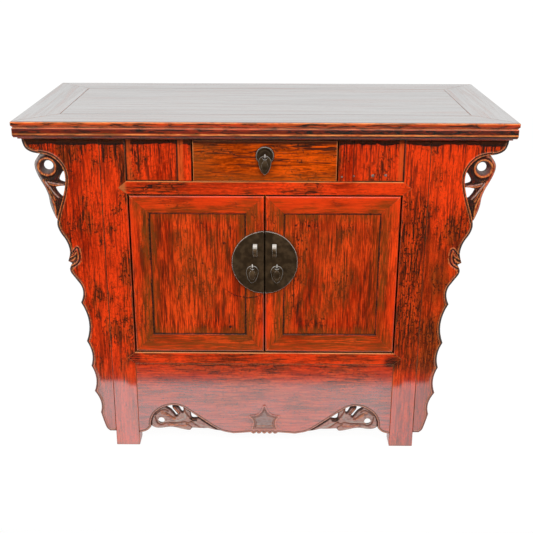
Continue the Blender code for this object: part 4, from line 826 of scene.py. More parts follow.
def worn_top(name, grain):
    """The top: dulled grey-brown above, and on its moulded edge worn red with black streaks, with dark bands
    that are partly painted shadow and rubbed lines that are partly painted highlight.
    """
    surface = Surface(name)
    look, ramp = surface.look, surface.ramp
    cloud = surface.noise(grain, 2.0, 14.0, 3.0)
    streak = surface.noise(grain, 4.0, 110.0, 5.0, 0.66, 0.3)
    edging = surface.noise(grain, 16.0, 300.0, 4.0, 0.66, 0.6)
    patch = surface.noise(grain, 24.0, 110.0, 5.0, 0.66, 0.4)
    above = surface.mix(ramp(cloud, 0.38, 0.64), look.top, scaled(look.top, 0.6))
    above = surface.mix(ramp(streak, 0.48, 0.66, 0.0, 0.5), above, look.patina)

    surface.tone = surface.mix(surface.zone("upper_edge"), scaled(look.red, 0.6), scaled(look.orange, 1.3))
    surface.lay(ramp(cloud, 0.44, 0.58, 0.2, 0.8), look.glow)
    surface.lay(ramp(patch, 0.42, 0.58, 0.0, 0.55), look.patina)
    surface.lay(ramp(edging, 0.48, 0.58, 0.0, 0.85), look.soot)
    surface.lay(ramp(patch, 0.54, 0.62, 0.0, 0.85), look.soot)
    lay_edge_shadow_and_highlight_marks(surface, patch)
    upward = ramp(surface.facing()["Z"], 0.55, 0.90)
    surface.lay(upward, above)

    openness = surface.openness(TOP_SEAM)
    surface.lay(ramp(openness, 0.80, 0.35, 0.0, 0.90), look.soot)
    edge, rounded = surface.arris(look.wear_width)
    rubbing = surface.times(ramp(edge, 0.015, 0.16), ramp(openness, 0.60, 0.90))
    surface.lay(surface.times(rubbing, ramp(patch, 0.36, 0.55, 0.30, 0.85)), look.rubbed)
    shine = surface.times(surface.zone("top_back", 1.0, 0.74), upward, ramp(streak, 0.38, 0.62, 1.0, 0.86))
    surface.put(Base_Color=surface.tone, Roughness=ramp(streak, 0.3, 0.7, 0.16, 0.28), Specular_IOR_Level=0.5)
    surface.put(Coat_Weight=surface.most(shine, 0.12), Coat_Roughness=0.10, Coat_IOR=2.2)
    surface.bump(surface.blend(streak, 0.5, edging, 0.4), GRAIN_DEPTH["top"], rounded)
    return surface.material


def bare_wood(name, grain):
    """Aged unfinished wood with dark growth lines, and painted shade in its corners."""
    surface = Surface(name)
    look, ramp = surface.look, surface.ramp
    cloud = surface.noise(grain, 1.6, 10.0, 3.0)
    ring = surface.noise(grain, 2.2, 75.0, 4.0, 0.6, 0.6)
    fibre = surface.noise(grain, 14.0, 520.0, 3.0, 0.6)
    dark = scaled(look.bare, 0.45)
    surface.tone = surface.mix(ramp(cloud, 0.35, 0.68), look.bare, scaled(look.bare, 1.35))
    surface.lay(ramp(ring, 0.46, 0.68, 0.0, 0.75), dark)
    surface.lay(ramp(fibre, 0.52, 0.72, 0.0, 0.5), dark)
    # painted shade: black where ambient occlusion finds a corner
    surface.lay(ramp(surface.openness(look.corner_reach), 0.75, 0.25, 0.0, 0.75), look.soot)
    rough = ramp(fibre, 0.3, 0.7, 0.60, 0.82)
    surface.put(Base_Color=surface.tone, Roughness=rough, Specular_IOR_Level=0.25)
    _, rounded = surface.arris(0.5 * look.wear_width)
    surface.bump(surface.blend(ring, 1.0, fibre, 0.6), GRAIN_DEPTH["wood"], rounded)
    return surface.material


def bronze(name, tone=1.0, rim=None, polish=0.0):
    """Dark metal with brown blotches, fine scratches, pale rubbed edges that are partly a painted highlight,
    and a painted highlight on upward faces; of a plate only its rim is rubbed, with no upward highlight.
    """
    surface = Surface(name)
    look, ramp = surface.look, surface.ramp
    blotch = surface.noise("Z", 60.0, 60.0, 4.0, 0.6)
    scratch = surface.noise("X", 60.0, 900.0, 2.0, 0.5)
    dark = scaled(look.bronze, tone)
    surface.tone = surface.mix(ramp(blotch, 0.40, 0.66), scaled(dark, 0.85), scaled(dark, 1.45))
    edge, rounded = surface.arris(BRONZE_EDGE)
    if rim:
        middle, radius = rim
        outer = ramp(surface.away(0.0, middle), *((radius - inward) * MM for inward in PLATE_RIM))
        rubbing = surface.times(ramp(edge, 0.01, 0.08, 0.0, 0.97), outer)
    else:
        # painted highlight: faces that point up turn pale, and the polish share turns the rest pale too
        upward = ramp(surface.facing()["Z"], 0.30, 0.85, polish, 0.95)
        rubbing = surface.most(upward, ramp(edge, 0.02, 0.12, 0.0, 0.95))
    surface.lay(rubbing, look.bright)
    # where rubbed or highlit the metal gives way to a pale non-metal colour, so the painted highlight shows
    surface.put(
        Base_Color=surface.tone, Roughness=ramp(blotch, 0.3, 0.7, 0.30, 0.46),
        Metallic=ramp(rubbing, 0.0, 1.0, 0.75, 0.15),
    )
    surface.bump(surface.blend(blotch, 1.0, scratch, 0.3), GRAIN_DEPTH["bronze"], rounded)
    return surface.material


def iron(name):
    """Dull grey nail heads with rust round them."""
    surface = Surface(name)
    look, ramp = surface.look, surface.ramp
    rust = surface.noise("Z", 420.0, 420.0, 3.0, 0.6)
    surface.tone = surface.mix(ramp(rust, 0.42, 0.66, 0.0, 0.7), look.iron, look.patina)
    surface.put(Base_Color=surface.tone, Roughness=ramp(rust, 0.3, 0.7, 0.45, 0.7), Metallic=0.2)
    _, rounded = surface.arris(IRON_EDGE)
    surface.bump(rust, GRAIN_DEPTH["iron"], rounded)
    return surface.material


def plate_rim(node):
    """Height of the middle and radius of a round plate, in millimetres."""
    low, high = (corner.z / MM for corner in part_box(node))
    return (low + high) / 2, (high - low) / 2


def make_finishes():
    """All the materials of the object, by name."""
    look = finish()
    made = {
        # the eyes' bronze is pale nearly all over, a painted highlight
        "bronze": bronze("dark_bronze"), "highlit_bronze": bronze("highlit_bronze", polish=0.75),
        "lock_bronze": bronze("lock_bronze", rim=plate_rim("lock_plate_left")),
        "rosette_bronze": bronze("rosette_bronze", 0.6, plate_rim("drawer_pull_plate")),
        "nail": iron("nail_iron"),
    }
    reds = (look.red, look.glow, look.deep)
    warm = (look.red, look.ember, look.deep)
    dim = [scaled(colour, 0.85) for colour in reds]
    fresh = (scaled(look.glow, 0.92), look.glow, look.deep)
    ambers = (look.amber, scaled(look.amber, 1.5), scaled(look.amber, 0.30))
    for word, grain in (("upright", "Z"), ("level", "X"), ("deep", "Y")):
        colours, streaks = (fresh, 0.75) if word == "level" else (reds, 1.0)
        made["red_" + word] = lacquer("red_lacquer_" + word, grain, colours, streaks)
        made["top_" + word] = worn_top("top_lacquer_" + word, grain)
        made["bare_" + word] = bare_wood("bare_wood_" + word, grain)
    for word, grain, colours, haze in (("upright", "Z", reds, 0.09), ("level", "X", dim, 0.15)):
        made["door_" + word] = lacquer("door_lacquer_" + word, grain, warm, kind="door")
        made["carved_" + word] = lacquer("carved_lacquer_" + word, grain, colours, kind="carved", haze=haze)
    made["amber_level"] = lacquer("amber_lacquer_level", "X", ambers, 0.85, "drawer", 0.5)
    return made


FINISHES = {}


def coat(name):
    """The named material; the first call makes them all."""
    if not FINISHES:
        FINISHES.update(make_finishes())
    return FINISHES[name]


# Shaping

def add_piece(name, shape, material, node, replaced=()):
    """Adds a piece that rides with a node's body."""
    mesh = bpy.data.meshes.new(name)
    shape.to_mesh(mesh)
    shape.free()
    piece = bpy.data.objects.new(name, mesh)
    bpy.context.scene.collection.objects.link(piece)
    mesh.materials.append(material)
    mesh.shade_smooth()
    mesh.set_sharp_from_angle(angle=SHARP_ANGLE)
    piece.modifiers.new("even_faces", "WEIGHTED_NORMAL").keep_sharp = True
    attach(piece, NODE_BODY[node])
    if replaced:
        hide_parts(*replaced)
    return piece


def cad_copy(node):
    """A clean copy of a node's solid."""
    shape = bmesh.new()
    shape.from_mesh(frame["nodes"][node].data)
    bmesh.ops.remove_doubles(shape, verts=shape.verts, dist=TOUCH)
    bmesh.ops.dissolve_limit(shape, angle_limit=FLAT_ANGLE, verts=shape.verts, edges=shape.edges)
    return shape


def add_pivots(shape, node):
    """The round pins by which a hinge stile turns, where its solid goes beyond the door."""
    spots = [vert.co for vert in frame["nodes"][node].data.vertices]
    for beyond, edge in ((1, DOOR_TOP), (-1, DOOR_BOTTOM)):
        pin = [spot for spot in spots if (spot.z - edge) * beyond > TOUCH]
        low, high = (Vector([pick(spot[axis] for spot in pin) for axis in range(3)]) for pick in (min, max))
        tip = high.z if beyond > 0 else low.z
        radius = (high.x - low.x) / 2
        middle = Vector(((low.x + high.x) / 2, (low.y + high.y) / 2, (tip + edge) / 2))
        bmesh.ops.create_cone(
            shape, cap_ends=True, segments=PIVOT_SIDES, radius1=radius, radius2=radius,
            depth=abs(tip - edge), matrix=Matrix.Translation(middle),
        )


def door_bar(node):
    """A mitred stile or rail of a door, its face hollowed in one sweep."""
    side = 1 if "_right_" in node else -1

    def corners(inset):
        near, far = side * (DOOR_MEETING + inset), side * (DOOR_OUTER - inset)
        low, high = DOOR_BOTTOM + inset, DOOR_TOP - inset
        return {"bottom_rail": ((near, low), (far, low)), "top_rail": ((near, high), (far, high)),
                "meeting_stile": ((near, low), (near, high)), "hinge_stile": ((far, low), (far, high))}

    member = node.split("_", 2)[2]
    section = [(DOOR_FRAME, DOOR_BACK), (0.0, DOOR_BACK), (0.0, FACE + DOOR_ARRIS)]
    for share in np.linspace(0, 1, DISH_STEPS):
        fall = (1 + DISH_LEAN * (1 - share)) * share
        section.append((DOOR_ARRIS + (DOOR_FRAME - DOOR_ARRIS) * share, FACE + DISH_DEPTH * fall))
    shape = bmesh.new()
    ends = [
        [shape.verts.new((across, depth, up)) for across, up in corners(inset)[member]]
        for inset, depth in section
    ]
    for first, second in zip(ends, ends[1:] + ends[:1]):
        shape.faces.new((first[0], first[1], second[1], second[0]))
    for tip in (0, 1):
        shape.faces.new([row[tip] for row in ends])
    if member == "hinge_stile":
        add_pivots(shape, node)
    bmesh.ops.recalc_face_normals(shape, faces=shape.faces)
    return shape


def eased_board(node, material):
    """Stands for a board's node with its long arrises rounded."""
    framing = NODE_BODY[node].startswith("door_") and node.endswith(("stile", "rail"))
    shape = door_bar(node) if framing else cad_copy(node)
    ease = carving().ease
    arrises = [
        edge for edge in shape.edges
        if len(edge.link_faces) == 2 and edge.is_convex and edge.calc_length() > ARRIS_EASES * ease
        and edge.calc_face_angle() > ARRIS_ANGLE
    ]
    bmesh.ops.bevel(
        shape, geom=arrises, offset=ease, segments=2, profile=0.5, affect="EDGES", clamp_overlap=True
    )
    for face in shape.faces:
        face.material_index = 0
    add_piece(node + "_board", shape, material, node, [node])


def face_loops(node, depth):
    """Closed outlines in X and Z, in millimetres, of a node's facets that face the front at one depth."""
    mesh = frame["nodes"][node].data
    open_edges = set()
    for polygon in mesh.polygons:
        spots = [mesh.vertices[index].co for index in polygon.vertices]
        if polygon.normal.y > FRONTAL or any(abs(spot.y - depth) > TOUCH for spot in spots):
            continue
        keys = [(round(spot.x, 5), round(spot.z, 5)) for spot in spots]
        for start, end in zip(keys, keys[1:] + keys[:1]):
            if (end, start) in open_edges:
                open_edges.remove((end, start))
            else:
                open_edges.add((start, end))
    follow = dict(sorted(open_edges))
    loops = []
    while follow:
        start = min(follow)
        loop = [start]
        here = follow.pop(start)
        while here != start:
            loop.append(here)
            here = follow.pop(here)
        loops.append(np.array(loop) / MM)
    return sorted(loops, key=len, reverse=True)


def curve(points, steps=5):
    """A smooth line through the points."""
    points = np.asarray(points, float)
    ends = np.vstack((2 * points[0] - points[1], points, 2 * points[-1] - points[-2]))
    share = np.linspace(0, 1, steps, endpoint=False)[:, None]
    parts = [
        0.5 * (
            2 * b + (c - a) * share + (2 * a - 5 * b + 4 * c - d) * share**2
            + (3 * (b - c) + d - a) * share**3
        )
        for a, b, c, d in zip(ends, ends[1:], ends[2:], ends[3:])
    ]
    return np.vstack((*parts, points[-1:]))


def circle(middle, radius, count=EYE_SIDES):
    turns = np.arange(count) * 2 * np.pi / count
    return np.asarray(middle) + radius * np.stack((np.cos(turns), np.sin(turns)), 1)


def closed(loop):
    return np.vstack((loop, loop[:1]))


def fine(loop, step=8.0):
    """A closed outline with its long straights divided."""
    spots = []
    for start, end in zip(loop, np.roll(loop, -1, axis=0)):
        count = max(1, int(np.hypot(*(end - start)) / step))
        spots.extend(start + (end - start) * share for share in np.arange(count) / count)
    return np.array(spots)


def distance(spots, line):
    """How far each spot is from a line."""
    start, step = line[:-1], np.diff(line, axis=0)
    away = spots[:, None] - start
    share = ((away * step).sum(-1) / np.maximum((step**2).sum(-1), 1e-9)).clip(0, 1)
    return np.sqrt(((away - share[..., None] * step) ** 2).sum(-1)).min(1)


def inside(spots, loop):
    """Which spots lie within a closed outline."""
    after = np.roll(loop, -1, axis=0)
    level = spots[:, 1:]
    crossing = (loop[:, 1] > level) != (after[:, 1] > level)
    rise = after[:, 1] - loop[:, 1]
    at = loop[:, 0] + (level - loop[:, 1]) * (after[:, 0] - loop[:, 0]) / np.where(rise == 0, 1, rise)
    return (crossing & (spots[:, :1] < at)).sum(1) % 2 == 1


def rows(line, section, step):
    """Spots in rows beside a line, on both sides, at the distances of an edge's section."""
    run = np.concatenate(([0], np.cumsum(np.hypot(*np.diff(line, axis=0).T))))
    at = np.linspace(0, run[-1], int(run[-1] / step) + 1)
    even = np.stack([np.interp(at, run, line[:, axis]) for axis in (0, 1)], 1)
    along = np.gradient(even, axis=0)
    across = np.stack((-along[:, 1], along[:, 0]), 1) / np.hypot(*along.T)[:, None]
    found = []
    for offset, *_ in section:
        spots = np.vstack((even + offset * across, even - offset * across))
        found.append(spots[abs(distance(spots, line) - offset) < ROW_SLACK])
    return np.vstack(found)


def lattice(low, high, step):
    """Staggered spots over a rectangle."""
    levels = np.arange(low[1], high[1], LATTICE_RISE * step)
    across, up = np.meshgrid(np.arange(low[0], high[0], step), levels)
    across[1::2] += 0.5 * step
    return np.stack((across.ravel(), up.ravel()), 1)


def board_spots(board, run, section, step, *carved):
    """Spots of a board: rows along its free edge, a wide field, and finely carved fields."""
    field = lattice(board.min(0), board.max(0), FIELD_STEP)
    field = field[distance(field, run) > FIELD_STEP]
    return np.vstack((rows(run, section[1:], BOARD_ROW * step), field, *carved))


def relief_spots(outline, section, step, outward):
    """Spots of a scroll or leaf: rows along its whole edge and a fine field."""
    field = lattice(abs(outline).min(0), abs(outline).max(0), step) * outward
    return np.vstack((rows(closed(outline), section[1:4], RELIEF_ROW * step), field))


def free_run(loop, held):
    """The longest part of a closed outline that isn't held along a joint."""
    count = len(loop)
    runs = []
    for start in range(count):
        if held(loop[start - 1]) and not held(loop[start]):
            run = [loop[start - 1]]
            for index in range(start, start + count):
                run.append(loop[index % count])
                if held(run[-1]):
                    break
            runs.append(np.array(run))
    return max(runs, key=lambda run: np.hypot(*np.diff(run, axis=0).T).sum())


def shaped(spots, base, edges, strokes):
    """Height, soot, rubbing and dust of carved spots, from edge sections and strokes."""
    state = np.zeros((len(spots), 4)) + base
    nearest = np.full(len(spots), np.inf)
    for line, section in edges:
        away = distance(spots, line)
        table = np.array(section)
        near = (away < nearest) & (away < table[-1, 0])
        nearest = np.minimum(nearest, away)
        for column in range(4):
            state[near, column] = np.interp(away[near], table[:, 0], table[:, column + 1])
    for kind, half, points in strokes:
        share = (1 - distance(spots, curve(points)) / half).clip(0, 1)
        share = share * share * (3 - 2 * share)
        lift, *paint = STROKES[kind]
        state[:, 0] += lift * share
        state[:, 1:] += np.minimum(1, STROKE_COVER * share)[:, None] * (np.array(paint) - state[:, 1:])
    return state


class Relief:
    """A carved mesh under construction, in millimetres from the middle and from the floor."""

    def __init__(self):
        self.shape = bmesh.new()
        self.paint = self.shape.verts.layers.float_color.new("paint")

    def spot(self, at, depth, paint):
        vert = self.shape.verts.new((at[0] * MM, depth, at[1] * MM))
        vert[self.paint] = (*paint, 1.0)
        return vert

    def island(self, outline, spots, look, front, back, eye=None):
        """A board with a shaped front, straight walls and a flat back; an eye pierces it as a funnel."""
        outline = fine(outline)
        loops = [outline] + ([circle(*eye[:2])] if eye else [])
        clear = inside(spots, outline) & (distance(spots, closed(outline)) > OUTLINE_CLEAR)
        if eye:
            clear &= np.hypot(*(spots - eye[0]).T) > eye[1] + OUTLINE_CLEAR
        coords, edges = [], []
        for loop in loops:
            first = len(coords)
            coords += list(loop)
            edges += [(first + k, first + (k + 1) % len(loop)) for k in range(len(loop))]
        coords += list(spots[clear])
        flat, _, faces, *_ = delaunay_2d_cdt([Vector(spot) for spot in coords], edges, [], 0, 1e-4)
        flat = np.array([tuple(spot) for spot in flat])
        faces = np.array([face for face in faces if len(face) == 3])
        middles = flat[faces].mean(1)
        kept = inside(middles, outline)
        if eye:
            kept &= np.hypot(*(middles - eye[0]).T) > eye[1] * math.cos(math.pi / EYE_SIDES)
        state = look(flat)
        verts = {
            index: self.spot(flat[index], front - state[index, 0] * MM, state[index, 1:])
            for index in sorted(set(faces[kept].ravel().tolist()))
        }
        for face in faces[kept].tolist():
            self.shape.faces.new([verts[index] for index in face])
        self.walls(back, eye, set(verts.values()))

    def walls(self, back, eye, verts):
        """Straight walls from the rims to the back, or a funnel behind an eye, and the back itself."""
        rims = [edge for edge in self.shape.edges if edge.is_boundary and edge.verts[0] in verts]
        chains = {}
        for vert in dict.fromkeys(vert for edge in rims for vert in edge.verts):
            here = np.array((vert.co.x, vert.co.z)) / MM
            if eye and np.hypot(*(here - eye[0])) < eye[1] + RIM_SLACK:
                chains[vert] = [vert] + self.funnel(vert, here - eye[0], back, eye)
            else:
                chains[vert] = [vert, self.spot(here, back, WALL_PAINT)]
        ends = []
        for edge in rims:
            first, second = (chains[vert] for vert in edge.verts)
            for (a, b), (c, d) in zip(zip(first, first[1:]), zip(second, second[1:])):
                self.shape.faces.new((a, b, d, c))
            ends.append(self.shape.edges.get((first[-1], second[-1])))
        bmesh.ops.triangle_fill(self.shape, use_beauty=True, use_dissolve=False, edges=ends)

    def funnel(self, vert, outward, back, eye):
        """Spots from an eye's front rim to its wider back rim; its lower side, which faces up, gets a painted
        highlight in grey.
        """
        middle, front_radius, back_radius = eye
        lit = max(0.0, -outward[1] / front_radius)
        soot, rubbing, dust_and_sheen = FUNNEL_PAINT
        chain = []
        for share in np.linspace(0, 1, FUNNEL_STEPS)[1:]:
            widening = 1 + (back_radius / front_radius - 1) * (1 - (1 - share) ** FUNNEL_CURVE)
            depth = vert.co.y + (back - vert.co.y) * share
            paint = (soot, rubbing, dust_and_sheen + FUNNEL_HIGHLIGHT * lit * share)
            chain.append(self.spot(middle + outward * widening, depth, paint))
        return chain

    def piece(self, name, material, node):
        bmesh.ops.recalc_face_normals(self.shape, faces=self.shape.faces)
        add_piece(name, self.shape, material, node, [node])


def eye_of(loop):
    """Middle and radius of a pierced eye."""
    middle = (loop.min(0) + loop.max(0)) / 2
    return middle, float(np.hypot(*(loop - middle).T).max())


def eye_rim(kind, eye):
    """The rubbed rim round a pierced eye."""
    half = carving().eye_rim / MM / 2
    return (kind, 1.2 * half, closed(circle(eye[0], eye[1] + 0.5 * half, EYE_SIDES // 2)))


def mirrored(strokes, outward):
    return [(kind, half, np.array(points) * outward) for kind, half, points in strokes]


def nail_head(shape, across, up, radius):
    """A low dome on the divider or the panel of the right frieze."""
    node = "frieze_panel_right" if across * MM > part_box("divider_right")[1].x else "divider_right"
    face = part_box(node)[0].y
    rings = []
    for share in NAIL_RINGS:
        depth = face - NAIL_HEIGHT * (1 - share**2)
        spots = circle((across, up), radius * share, NAIL_SIDES) * MM
        rings.append([shape.verts.new((spot[0], depth, spot[1])) for spot in spots])
    for outer, inner in zip(rings, rings[1:]):
        for k in range(NAIL_SIDES):
            shape.faces.new((outer[k - 1], outer[k], inner[k], inner[k - 1]))
    shape.faces.new(rings[-1])
    shape.faces.new(rings[0])


class CABINET_OT_boards(bpy.types.Operator):
    """Dresses the posts, rails, panels and boards of the body, the doors and the drawer"""

    bl_idname = "cabinet.boards"
    bl_label = "Dress boards"

    def execute(self, context):
        words = {"red_lacquer": "red_", "worn_top_lacquer": "top_", "bare_elm": "bare_"}
        for node, slot in sorted(NODE_SLOT.items()):
            if slot == "dark_bronze" or node == "apron" or node.startswith("wing_"):
                continue
            low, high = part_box(node)
            size = high - low
            grain = ("level", "deep", "upright")[max(range(3), key=lambda axis: size[axis])]
            if node.startswith("frieze_"):
                grain = "upright"
            if slot == "amber_drawer_lacquer":
                eased_board(node, coat("amber_level"))
            elif NODE_BODY[node].startswith("door_"):
                eased_board(node, coat("door_" + grain))
            else:
                eased_board(node, coat(words[slot] + grain))
        return {"FINISHED"}


class CABINET_OT_wings(bpy.types.Operator):
    """Carves the two wings with their beaded edges, scrolls and flames"""

    bl_idname = "cabinet.wings"
    bl_label = "Carve wings"

    def execute(self, context):
        for word, side in SIDES:
            node = "wing_" + word
            outward = np.array((side, 1))
            relief = Relief()
            run = self.carve_board(relief, node, outward)
            self.carve_scroll(relief, node, run, side, outward)
            relief.piece("carved_" + node, coat("carved_upright"), node)
        return {"FINISHED"}

    def carve_board(self, relief, node, outward):
        """The scalloped board with its bead and flame; returns its free edge from the top down."""
        step = carving().step / MM
        board = face_loops(node, FACE)[0]
        inner, top = POST_OUTER / MM + JOINT_SLACK, UNDERSIDE / MM - JOINT_SLACK
        run = free_run(board, lambda spot: abs(spot[0]) < inner or spot[1] > top)
        if run[0, 1] < run[-1, 1]:
            run = run[::-1]
        hollow = run[(run[:, 1] > HOLLOW_SPAN[0]) & (run[:, 1] < HOLLOW_SPAN[1])]
        above, below = run[run[:, 1] >= hollow[0, 1]], run[run[:, 1] <= hollow[-1, 1]]
        edges = ((hollow, HOLLOW_EDGE), (above, FREE_EDGE), (below, FREE_EDGE))
        flame = mirrored(FLAME_STROKES, outward)

        def look(spots):
            state = shaped(spots, PLAIN, edges, flame)
            kept = ((spots[:, 1] - WING_FOOT[0]) / (WING_FOOT[1] - WING_FOOT[0])).clip(0, 1)
            _, soot, rubbing, dust_and_sheen = state.T
            soot *= FOOT_SOOT + (1 - FOOT_SOOT) * kept
            dust_and_sheen[:] = np.maximum(dust_and_sheen, FOOT_DUST_AND_SHEEN * rubbing * (1 - kept))
            rubbing *= FOOT_RUBBING + (1 - FOOT_RUBBING) * kept
            return state

        fine_field = lattice(*FLAME_FIELD, FLAME_STEP * step) * outward
        spots = board_spots(board, run, FREE_EDGE, step, fine_field)
        relief.island(board, spots, look, FACE, WING_BACK)
        return run

    def carve_scroll(self, relief, node, run, side, outward):
        """The pierced scroll, lower than the board, with its eye."""
        scroll, eye_loop = face_loops(node, RELIEF_FACE)
        eye = (*eye_of(eye_loop), SCROLL_EYE_BACK)
        outer = free_run(scroll, lambda spot: distance(spot[None], run)[0] < SCROLL_SLACK)
        strokes = mirrored(SCROLL_STROKES, outward) + [eye_rim("orange", eye)]
        edges = ((outer, SCROLL_EDGE if side < 0 else RED_SCROLL_EDGE),)
        spots = relief_spots(scroll, SCROLL_EDGE, carving().step / MM, outward)
        relief.island(
            scroll, spots, lambda spots: shaped(spots, SHADED_SCROLL, edges, strokes), RELIEF_FACE, SCROLL_BACK, eye
        )


class CABINET_OT_apron(bpy.types.Operator):
    """Carves the apron with its beaded arch, leaf scrolls, star and fringe"""

    bl_idname = "cabinet.apron"
    bl_label = "Carve apron"

    def execute(self, context):
        relief = Relief()
        self.carve_board(relief)
        leaves = face_loops("apron", RELIEF_FACE)
        for _, side in SIDES:
            self.carve_leaf(relief, *(loop for loop in leaves if loop[:, 0].mean() * side > 0), side)
        relief.piece("carved_apron", coat("carved_level"), "apron")
        return {"FINISHED"}

    def carve_board(self, relief):
        """The board with its beaded arch, its fringe and the sunk star."""
        step = carving().step / MM
        board = face_loops("apron", FACE)[0]
        top, end = board[:, 1].max() - JOINT_SLACK, board[:, 0].max() - RIM_SLACK
        run = free_run(board, lambda spot: spot[1] > top or abs(spot[0]) > end)
        stars = [closed(loop) for loop in face_loops("apron", FACE + STAR_DROP)]
        outer_star, inner_star = sorted(stars, key=lambda star: -np.ptp(star[:, 0]))

        def look(spots):
            state = shaped(spots, PLAIN, ((run, APRON_EDGE),), ())
            height, soot, rubbing, dust_and_sheen = state.T
            away = distance(spots, outer_star)
            within, core = inside(spots, outer_star[:-1]), inside(spots, inner_star[:-1])
            rim = (1 - away / STAR_RIM).clip(0, 1)
            line = (1 - abs(away - STAR_LINE) / STAR_LINE_HALF).clip(0, 1) * (spots[:, 1] > STAR_FOOT)
            raised = STAR_RISE * rim - STAR_LINE_SINK * line * ~within
            height += np.where(within & ~core, -STAR_SINK * away.clip(0, 1), raised)
            soot[:] = np.where(within | core, STAR_SOOT, np.maximum(soot * (1 - rim), STAR_SOOT * line))
            rubbing[:] = np.maximum(rubbing, np.where(within, 0, STAR_RIM_RUBBING * rim))
            sunk_dust = np.where(core, STAR_CORE_DUST, STAR_GROOVE_DUST)
            dust_and_sheen[:] = np.where(within | core, sunk_dust, np.maximum(dust_and_sheen, STAR_RIM_DUST * rim))
            return shaped(spots, state, (), STAR_STROKES)

        spots = board_spots(board, run, APRON_EDGE, step, lattice(*STAR_FIELD, STAR_STEP * step))
        relief.island(board, spots, look, FACE, APRON_BACK)

    def carve_leaf(self, relief, leaf, eye_loop, side):
        """A leaf scroll with its eye, which sits a little low and opens towards the back."""
        outward = np.array((side, 1))
        eye = (eye_of(eye_loop)[0] + LEAF_EYE_SHIFT, *LEAF_EYE_RADII)
        strokes = mirrored(LEAF_STROKES, outward) + [eye_rim("pale", eye)]
        edges = ((closed(leaf), LEAF_EDGE),)
        spots = relief_spots(leaf, LEAF_EDGE, carving().step / MM, outward)
        relief.island(
            leaf, spots, lambda spots: shaped(spots, DUST_AND_SHEEN_LEAF, edges, strokes), RELIEF_FACE, LEAF_BACK, eye
        )


class CABINET_OT_hardware(bpy.types.Operator):
    """Dresses the lock plate, staples, eyes and pulls"""

    bl_idname = "cabinet.hardware"
    bl_label = "Dress hardware"

    def execute(self, context):
        plates = {
            "lock_plate_left": "lock_bronze", "lock_plate_right": "lock_bronze",
            "drawer_pull_plate": "rosette_bronze",
        }
        for node, slot in sorted(NODE_SLOT.items()):
            if slot == "dark_bronze":
                # eyes take the bronze with the painted highlight
                plain = "highlit_bronze" if node.endswith("_eye") else "bronze"
                for holder in frame["nodes"][node].material_slots:
                    holder.material = coat(plates.get(node, plain))
        return {"FINISHED"}


class CABINET_OT_nails(bpy.types.Operator):
    """Drives the low nail heads into the right frieze"""

    bl_idname = "cabinet.nails"
    bl_label = "Drive nails"

    def execute(self, context):
        shape = bmesh.new()
        for nail in NAILS:
            nail_head(shape, *nail)
        bmesh.ops.recalc_face_normals(shape, faces=shape.faces)
        nails = add_piece("frieze_nails", shape, coat("nail"), "frieze_panel_right")
        return {"FINISHED"}


def seen_rays(tree, rays):
    """1 for the rays that see a backdrop, 0 for those that light with it."""
    path = tree.nodes.new("ShaderNodeLightPath").outputs
    seen = path[rays[0]]
    for ray in rays[1:]:
        either = tree.nodes.new("ShaderNodeMath")
        either.operation = "MAXIMUM"
        tree.links.new(seen, either.inputs[0])
        tree.links.new(path[ray], either.inputs[1])
        seen = either.outputs[0]
    return seen


def floor_finish(name, grey, mirrored_too):
    """Lit for the shadow and the bounce, and white to the camera; the sheet is white in reflections too."""
    surface = Surface(name)
    surface.tree.nodes.remove(surface.shader)
    seen = seen_rays(surface.tree, SEEN_RAYS if mirrored_too else SEEN_RAYS[:1])
    if mirrored_too:
        seen = surface.times(seen, SHEET_SHOWN)
    lit = surface.add("ShaderNodeBsdfDiffuse", Color=(grey, grey, grey)).outputs[0]
    white = surface.add("ShaderNodeEmission", Strength=SHEET_GLOW if mirrored_too else 1.0).outputs[0]
    mix = surface.add("ShaderNodeMixShader", i0=seen, i1=lit, i2=white)
    surface.tree.links.new(mix.outputs[0], surface.tree.nodes["Material Output"].inputs["Surface"])
    return surface.material


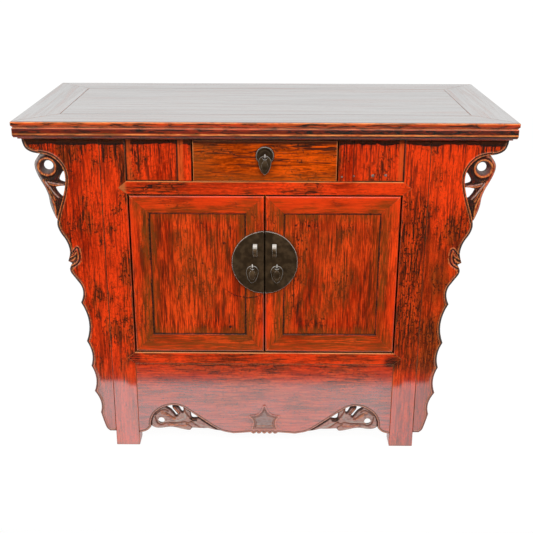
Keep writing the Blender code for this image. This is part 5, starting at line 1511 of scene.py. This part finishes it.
class CABINET_OT_stage(bpy.types.Operator):
    """Sets the floor, the backdrop, the lamps and the camera"""

    bl_idname = "cabinet.stage"
    bl_label = "Set stage"

    def execute(self, context):
        settings = stage()
        scene = context.scene
        scene.view_settings.view_transform = "Standard"
        self.add_camera(settings, scene)
        self.add_floor(settings, scene)
        self.add_world(settings, scene)
        self.add_lamps(settings, scene)
        return {"FINISHED"}

    def add_camera(self, settings, scene):
        data = bpy.data.cameras.new("cabinet_camera")
        data.lens = settings.lens
        data.sensor_width = SENSOR_WIDTH
        camera = bpy.data.objects.new("cabinet_camera", data)
        scene.collection.objects.link(camera)
        turned = Matrix.Rotation(-settings.yaw, 4, "Z")
        lowered = Matrix.Rotation(math.pi / 2 - settings.pitch, 4, "X")
        leant = Matrix.Rotation(settings.roll, 4, "Z")
        camera.matrix_world = Matrix.Translation(settings.camera) @ turned @ lowered @ leant
        scene.camera = camera

    def add_floor(self, settings, scene):
        """A white sheet under and behind the cabinet, and a floor in front that reflections see darker."""
        edge = CAD_BOX[0].y - settings.sheet_front
        wide = STAGE_REACH
        for name, near, back, grey, mirrored_too in (
            ("stage_sheet", edge, STAGE_REACH, SHEET_GREY, True),
            ("stage_floor", -STAGE_REACH, edge, FLOOR_GREY, False),
        ):
            mesh = bpy.data.meshes.new(name)
            corners = [(-wide, near, 0.0), (wide, near, 0.0), (wide, back, 0.0), (-wide, back, 0.0)]
            mesh.from_pydata(corners, [], [(0, 1, 2, 3)])
            floor = bpy.data.objects.new(name, mesh)
            scene.collection.objects.link(floor)
            floor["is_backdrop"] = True
            mesh.materials.append(floor_finish(name, grey, mirrored_too))

    def add_world(self, settings, scene):
        """White to the camera and in reflections, and a soft light from all round."""
        world = bpy.data.worlds.new("cabinet_world")
        scene.world = world
        world.use_nodes = True
        tree = world.node_tree
        background = tree.nodes["Background"]
        background.inputs["Color"].default_value = (1.0, 1.0, 1.0, 1.0)
        level = tree.nodes.new("ShaderNodeMix")
        level.inputs[2].default_value = settings.fill
        level.inputs[3].default_value = 1.0
        tree.links.new(seen_rays(tree, SEEN_RAYS), level.inputs[0])
        tree.links.new(level.outputs[0], background.inputs["Strength"])

    def add_lamps(self, settings, scene):
        for name, (stand, size, share) in LAMPS.items():
            data = bpy.data.lights.new(name, "AREA")
            data.energy = share * settings.key
            data.size = size
            lamp = bpy.data.objects.new(name, data)
            lamp.visible_glossy = False
            scene.collection.objects.link(lamp)
            toward = (Vector(LAMP_AIM) - Vector(stand)).to_track_quat("-Z", "Y").to_matrix().to_4x4()
            lamp.matrix_world = Matrix.Translation(stand) @ toward


OPERATORS = (
    CABINET_OT_boards, CABINET_OT_wings, CABINET_OT_apron,
    CABINET_OT_hardware, CABINET_OT_nails, CABINET_OT_stage,
)


class CABINET_PT_finish(bpy.types.Panel):
    """Lists the settings and steps of the cabinet's finish"""

    bl_idname = "CABINET_PT_finish"
    bl_label = "Altar cabinet"
    bl_space_type = "VIEW_3D"
    bl_region_type = "UI"
    bl_category = "Cabinet"

    def draw(self, context):
        for settings in (finish(), carving(), stage()):
            column = self.layout.box().column()
            for key in settings.__annotations__:
                column.prop(settings, key)
        for step in OPERATORS:
            self.layout.operator(step.bl_idname)


GROUPS = {
    "cabinet_finish": CabinetFinish, "cabinet_carving": CabinetCarving, "cabinet_stage": CabinetStage,
}


def register():
    for group in (*GROUPS.values(), *OPERATORS, CABINET_PT_finish):
        bpy.utils.register_class(group)
    for key, group in GROUPS.items():
        setattr(bpy.types.Scene, key, bpy.props.PointerProperty(type=group))


def unregister():
    for key in GROUPS:
        delattr(bpy.types.Scene, key)
    for group in (CABINET_PT_finish, *reversed(OPERATORS), *GROUPS.values()):
        bpy.utils.unregister_class(group)


def main():
    register()
    bpy.ops.cabinet.boards()
    bpy.ops.cabinet.wings()
    bpy.ops.cabinet.apron()
    bpy.ops.cabinet.hardware()
    bpy.ops.cabinet.nails()
    bpy.ops.cabinet.stage()
    boxes = {"cad": CAD_BOX, "visual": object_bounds()}
    {key: [list(corner) for corner in box] for key, box in boxes.items()}


if __name__ == "__main__":
    main()
